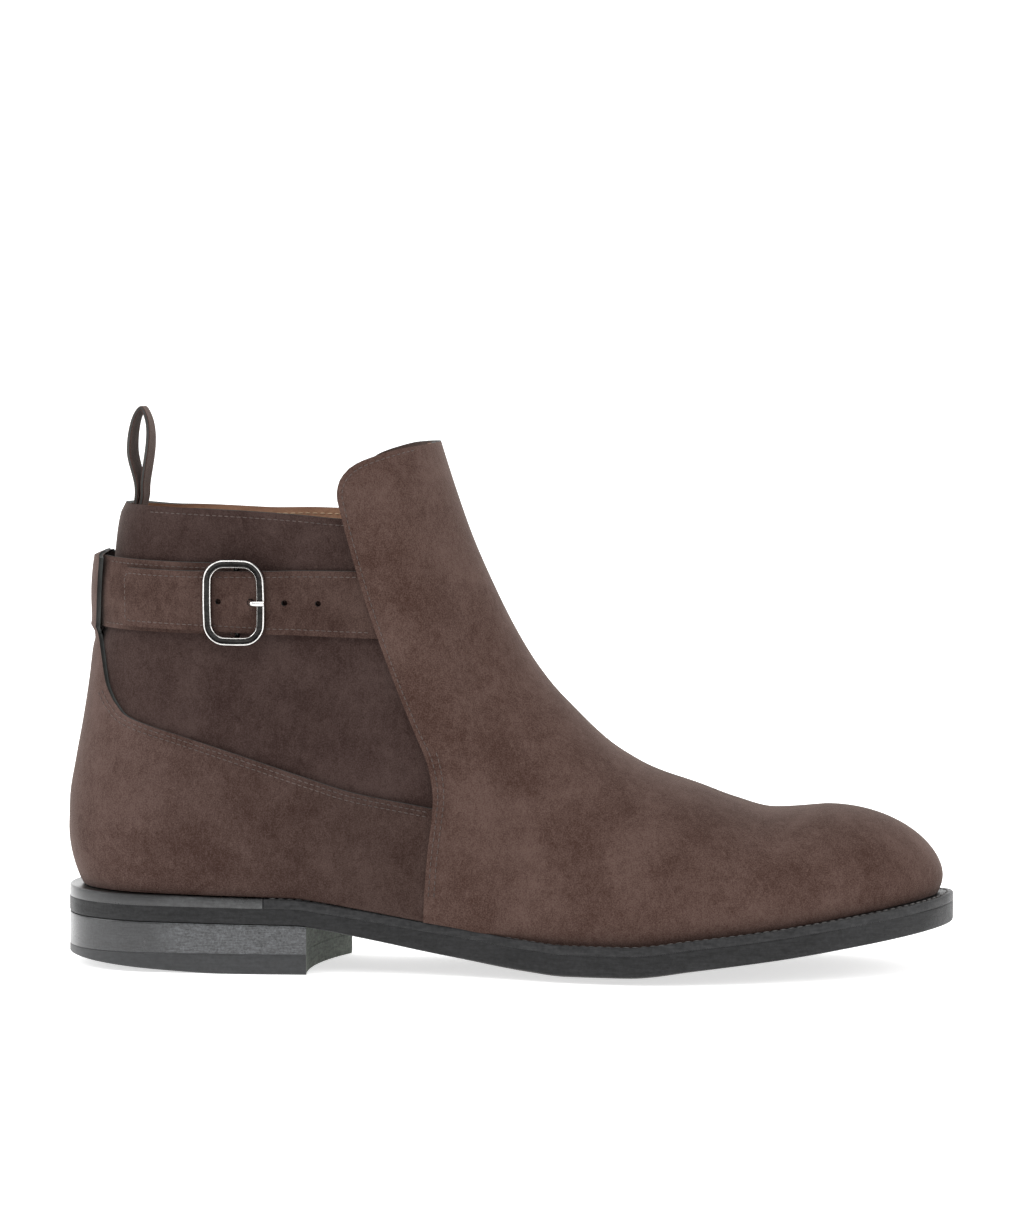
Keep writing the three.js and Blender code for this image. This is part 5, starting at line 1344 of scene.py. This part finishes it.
hole_x = PRONG_HOLE_X - BUCKLE_X
REST_LEVEL = FRAME_BASE + BUCKLE_THICKNESS + GAP + PRONG_RADIUS
PRONG_LINE = [
    (BUCKLE_BAR_RADIUS + GAP, bar_level), (hole_x - 1, bar_level - 0.15), (hole_x - 0.3, mix(bar_level, REST_LEVEL, 0.3)),
    (hole_x + 0.3, mix(bar_level, REST_LEVEL, 0.7)), (hole_x + 1.6, REST_LEVEL - 0.2),
    (BUCKLE_WIDTH / 2 - BUCKLE_BAR / 2, REST_LEVEL), (BUCKLE_WIDTH / 2 + 0.2, REST_LEVEL - 0.1),
]
line = rounded_line(PRONG_LINE, 6)
runs = np.gradient(line, axis=0)
runs /= np.linalg.norm(runs, axis=1, keepdims=True)
prong_rings = []
for i, ((x, z), (dx, dz)) in enumerate(zip(line, runs)):
    size = PRONG_RADIUS * (0.75 if i in (0, len(line) - 1) else 1)
    turn = np.linspace(0, 2 * math.pi, 17)[:-1]
    across, up = 1.15 * size * np.cos(turn), size * np.sin(turn)
    prong_rings.append(seated(np.stack([x - dz * up, across, z + dx * up], -1)))
prong = swept("buckle_prong_metal", prong_rings, False, [highlight_and_prong_nickel])
finished(prong, "buckle_prong")

# Pull loop
# A folded strip of suede that stands up from inside the back of the collar, a little twisted by use.
base, high = BACK_HEIGHT - LOOP_ROOT, BACK_HEIGHT + LOOP_HEIGHT
clearance = WALL + 3 * GAP + LOOP_WIDTH**2 / (4 * HEEL_WIDTH)
foot = float(back_at(base)) + clearance
root = float(back_at(BACK_HEIGHT)) + clearance
middle = root + LOOP_THICKNESS + GAP
LOOP_LINE = [
    (foot, base), (root, mix(BACK_HEIGHT, high, 0.1)), (middle - 0.52 * LOOP_SPREAD, mix(BACK_HEIGHT, high, 0.52)),
    (middle - 0.36 * LOOP_SPREAD, mix(BACK_HEIGHT, high, 0.85)), (middle + 0.06 * LOOP_SPREAD, high),
    (middle + 0.42 * LOOP_SPREAD, mix(BACK_HEIGHT, high, 0.85)), (middle + 0.48 * LOOP_SPREAD, mix(BACK_HEIGHT, high, 0.6)),
    (middle + 0.24 * LOOP_SPREAD, mix(BACK_HEIGHT, high, 0.2)), (root + 2 * LOOP_THICKNESS + GAP, BACK_HEIGHT),
    (foot + 2 * LOOP_THICKNESS + GAP, base),
]
# Twist of the strip in degrees at shares of its length.
LOOP_TWIST = through([0, 0.12, 0.3, 0.5, 0.7, 0.88, 1], [0, 1, 7, 2, -5, -2, 0])
line = rounded_line(LOOP_LINE, 10)
runs = np.gradient(line, axis=0)
runs /= np.linalg.norm(runs, axis=1, keepdims=True)
lengths = np.r_[0, np.cumsum(np.linalg.norm(np.diff(line, axis=0), axis=1))]
half_width = LOOP_WIDTH / 2
# Section across the strip: place over its width as a share, and over its thickness.
LOOP_SECTION = [(-1, 0.25), (-0.94, 0), (-0.5, 0), (0, 0), (0.5, 0), (0.94, 0), (1, 0.25), (1, 0.75), (0.94, 1), (0.5, 1),
                (0, 1), (-0.5, 1), (-0.94, 1), (-1, 0.75)]
loop_rings = []
loop_middle = float(backbone(root))
for (x, z), (dx, dz), at in zip(line, runs, lengths / lengths[-1]):
    turn = math.radians(float(LOOP_TWIST(at)))
    inward = np.array([dz, 0, -dx])
    across = np.array([0, 1, 0]) * math.cos(turn) + inward * math.sin(turn)
    through_strip = inward * math.cos(turn) - np.array([0, 1, 0]) * math.sin(turn)
    centre = np.array([x, loop_middle, z]) + inward * LOOP_THICKNESS / 2
    ring = [centre + across * a * half_width + through_strip * (b - 0.5) * LOOP_THICKNESS for a, b in LOOP_SECTION]
    loop_rings.append(np.array(ring))
loop_kinds = [0, 0, 0, 0, 0, 0, 1, 0, 0, 0, 0, 0, 0, 1]
loop = swept("pull_loop_suede", loop_rings, False, [strap_suede, cut_edge], loop_kinds)
finished(loop, "pull_loop")

# Insole
# The CAD solid keeps its shape and gets the lining's leather.
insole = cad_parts["insole"]
insole.data.materials.clear()
insole.data.materials.append(lining_leather)

# Studio
# White floor and walls, a broad soft light from above the camera and a weaker one from behind.
floor_mesh = bpy.data.meshes.new("studio_floor")
FLOOR = 6.0
BACK_BEND = 2.5
work = bmesh.new()
rows = [(-FLOOR, 0.0), (BACK_BEND, 0.0)]
rows += [(BACK_BEND + math.sin(a) * 1.5, 1.5 - math.cos(a) * 1.5) for a in np.linspace(0.1, math.pi / 2, 12)]
rows.append((BACK_BEND + 1.5, 6.0))
previous = None
for y, z in rows:
    pair = [work.verts.new((x, y, z)) for x in (-FLOOR, FLOOR)]
    if previous:
        work.faces.new([previous[0], previous[1], pair[1], pair[0]])
    previous = pair
work.to_mesh(floor_mesh)
work.free()
for face in floor_mesh.polygons:
    face.use_smooth = True
studio_white = bpy.data.materials.new("studio white")
studio_white.use_nodes = True
paint = studio_white.node_tree.nodes["Principled BSDF"]
paint.inputs["Base Color"].default_value = rgb(0.9, 0.9, 0.9)
paint.inputs["Roughness"].default_value = 1.0
paint.inputs["Emission Color"].default_value = rgb(1, 1, 1)
paint.inputs["Emission Strength"].default_value = 0.62
floor_mesh.materials.append(studio_white)
floor = bpy.data.objects.new("studio_floor", floor_mesh)
bpy.context.scene.collection.objects.link(floor)
floor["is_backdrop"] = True

world = bpy.data.worlds.new("studio")
world.use_nodes = True
world.node_tree.nodes["Background"].inputs["Color"].default_value = rgb(1.0, 1.0, 1.0)
world.node_tree.nodes["Background"].inputs["Strength"].default_value = 0.64
bpy.context.scene.world = world
bpy.context.scene.view_settings.view_transform = "Standard"


def area_light(name, place, target, size, power):
    data = bpy.data.lights.new(name, "AREA")
    data.shape, data.size, data.size_y, data.energy = "RECTANGLE", size[0], size[1], power
    lamp = bpy.data.objects.new(name, data)
    lamp.location = place
    lamp.rotation_euler = (Vector(target) - Vector(place)).to_track_quat("-Z", "Y").to_euler()
    bpy.context.scene.collection.objects.link(lamp)


area_light("key", (-0.5, -1.3, 1.5), (0, 0, 0.08), (1.4, 1.0), 14)
area_light("heel side", (-1.4, -0.4, 0.7), (0, 0, 0.08), (0.9, 0.9), 9)
area_light("toe side", (1.4, -0.4, 0.7), (0, 0, 0.06), (0.9, 0.9), 8)
area_light("top", (0.2, 0.3, 1.9), (0, 0, 0.05), (1.6, 1.2), 13)

# Camera
# The photograph's view: five degrees towards the toe and four above level, from over two metres away.
AZIMUTH, ELEVATION, DISTANCE = math.radians(5), math.radians(4.2), 2.2
IMAGE_WIDTH, IMAGE_HEIGHT = 1024, 1231
LENS_PIXELS = 6347.0
SENSOR = 36.0
TARGET = Vector(metres([[155.0, 0.0, 121.8]])[0])
back_off = Vector((math.sin(AZIMUTH) * math.cos(ELEVATION), -math.cos(AZIMUTH) * math.cos(ELEVATION), math.sin(ELEVATION)))
camera_data = bpy.data.cameras.new("photo")
camera_data.sensor_fit = "AUTO"
camera_data.sensor_width = SENSOR
camera_data.lens = SENSOR * LENS_PIXELS / IMAGE_HEIGHT
camera = bpy.data.objects.new("photo", camera_data)
camera.location = TARGET + back_off * DISTANCE
camera.rotation_euler = (-back_off).to_track_quat("-Z", "Y").to_euler()
bpy.context.scene.collection.objects.link(camera)
bpy.context.scene.camera = camera

low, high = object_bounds()
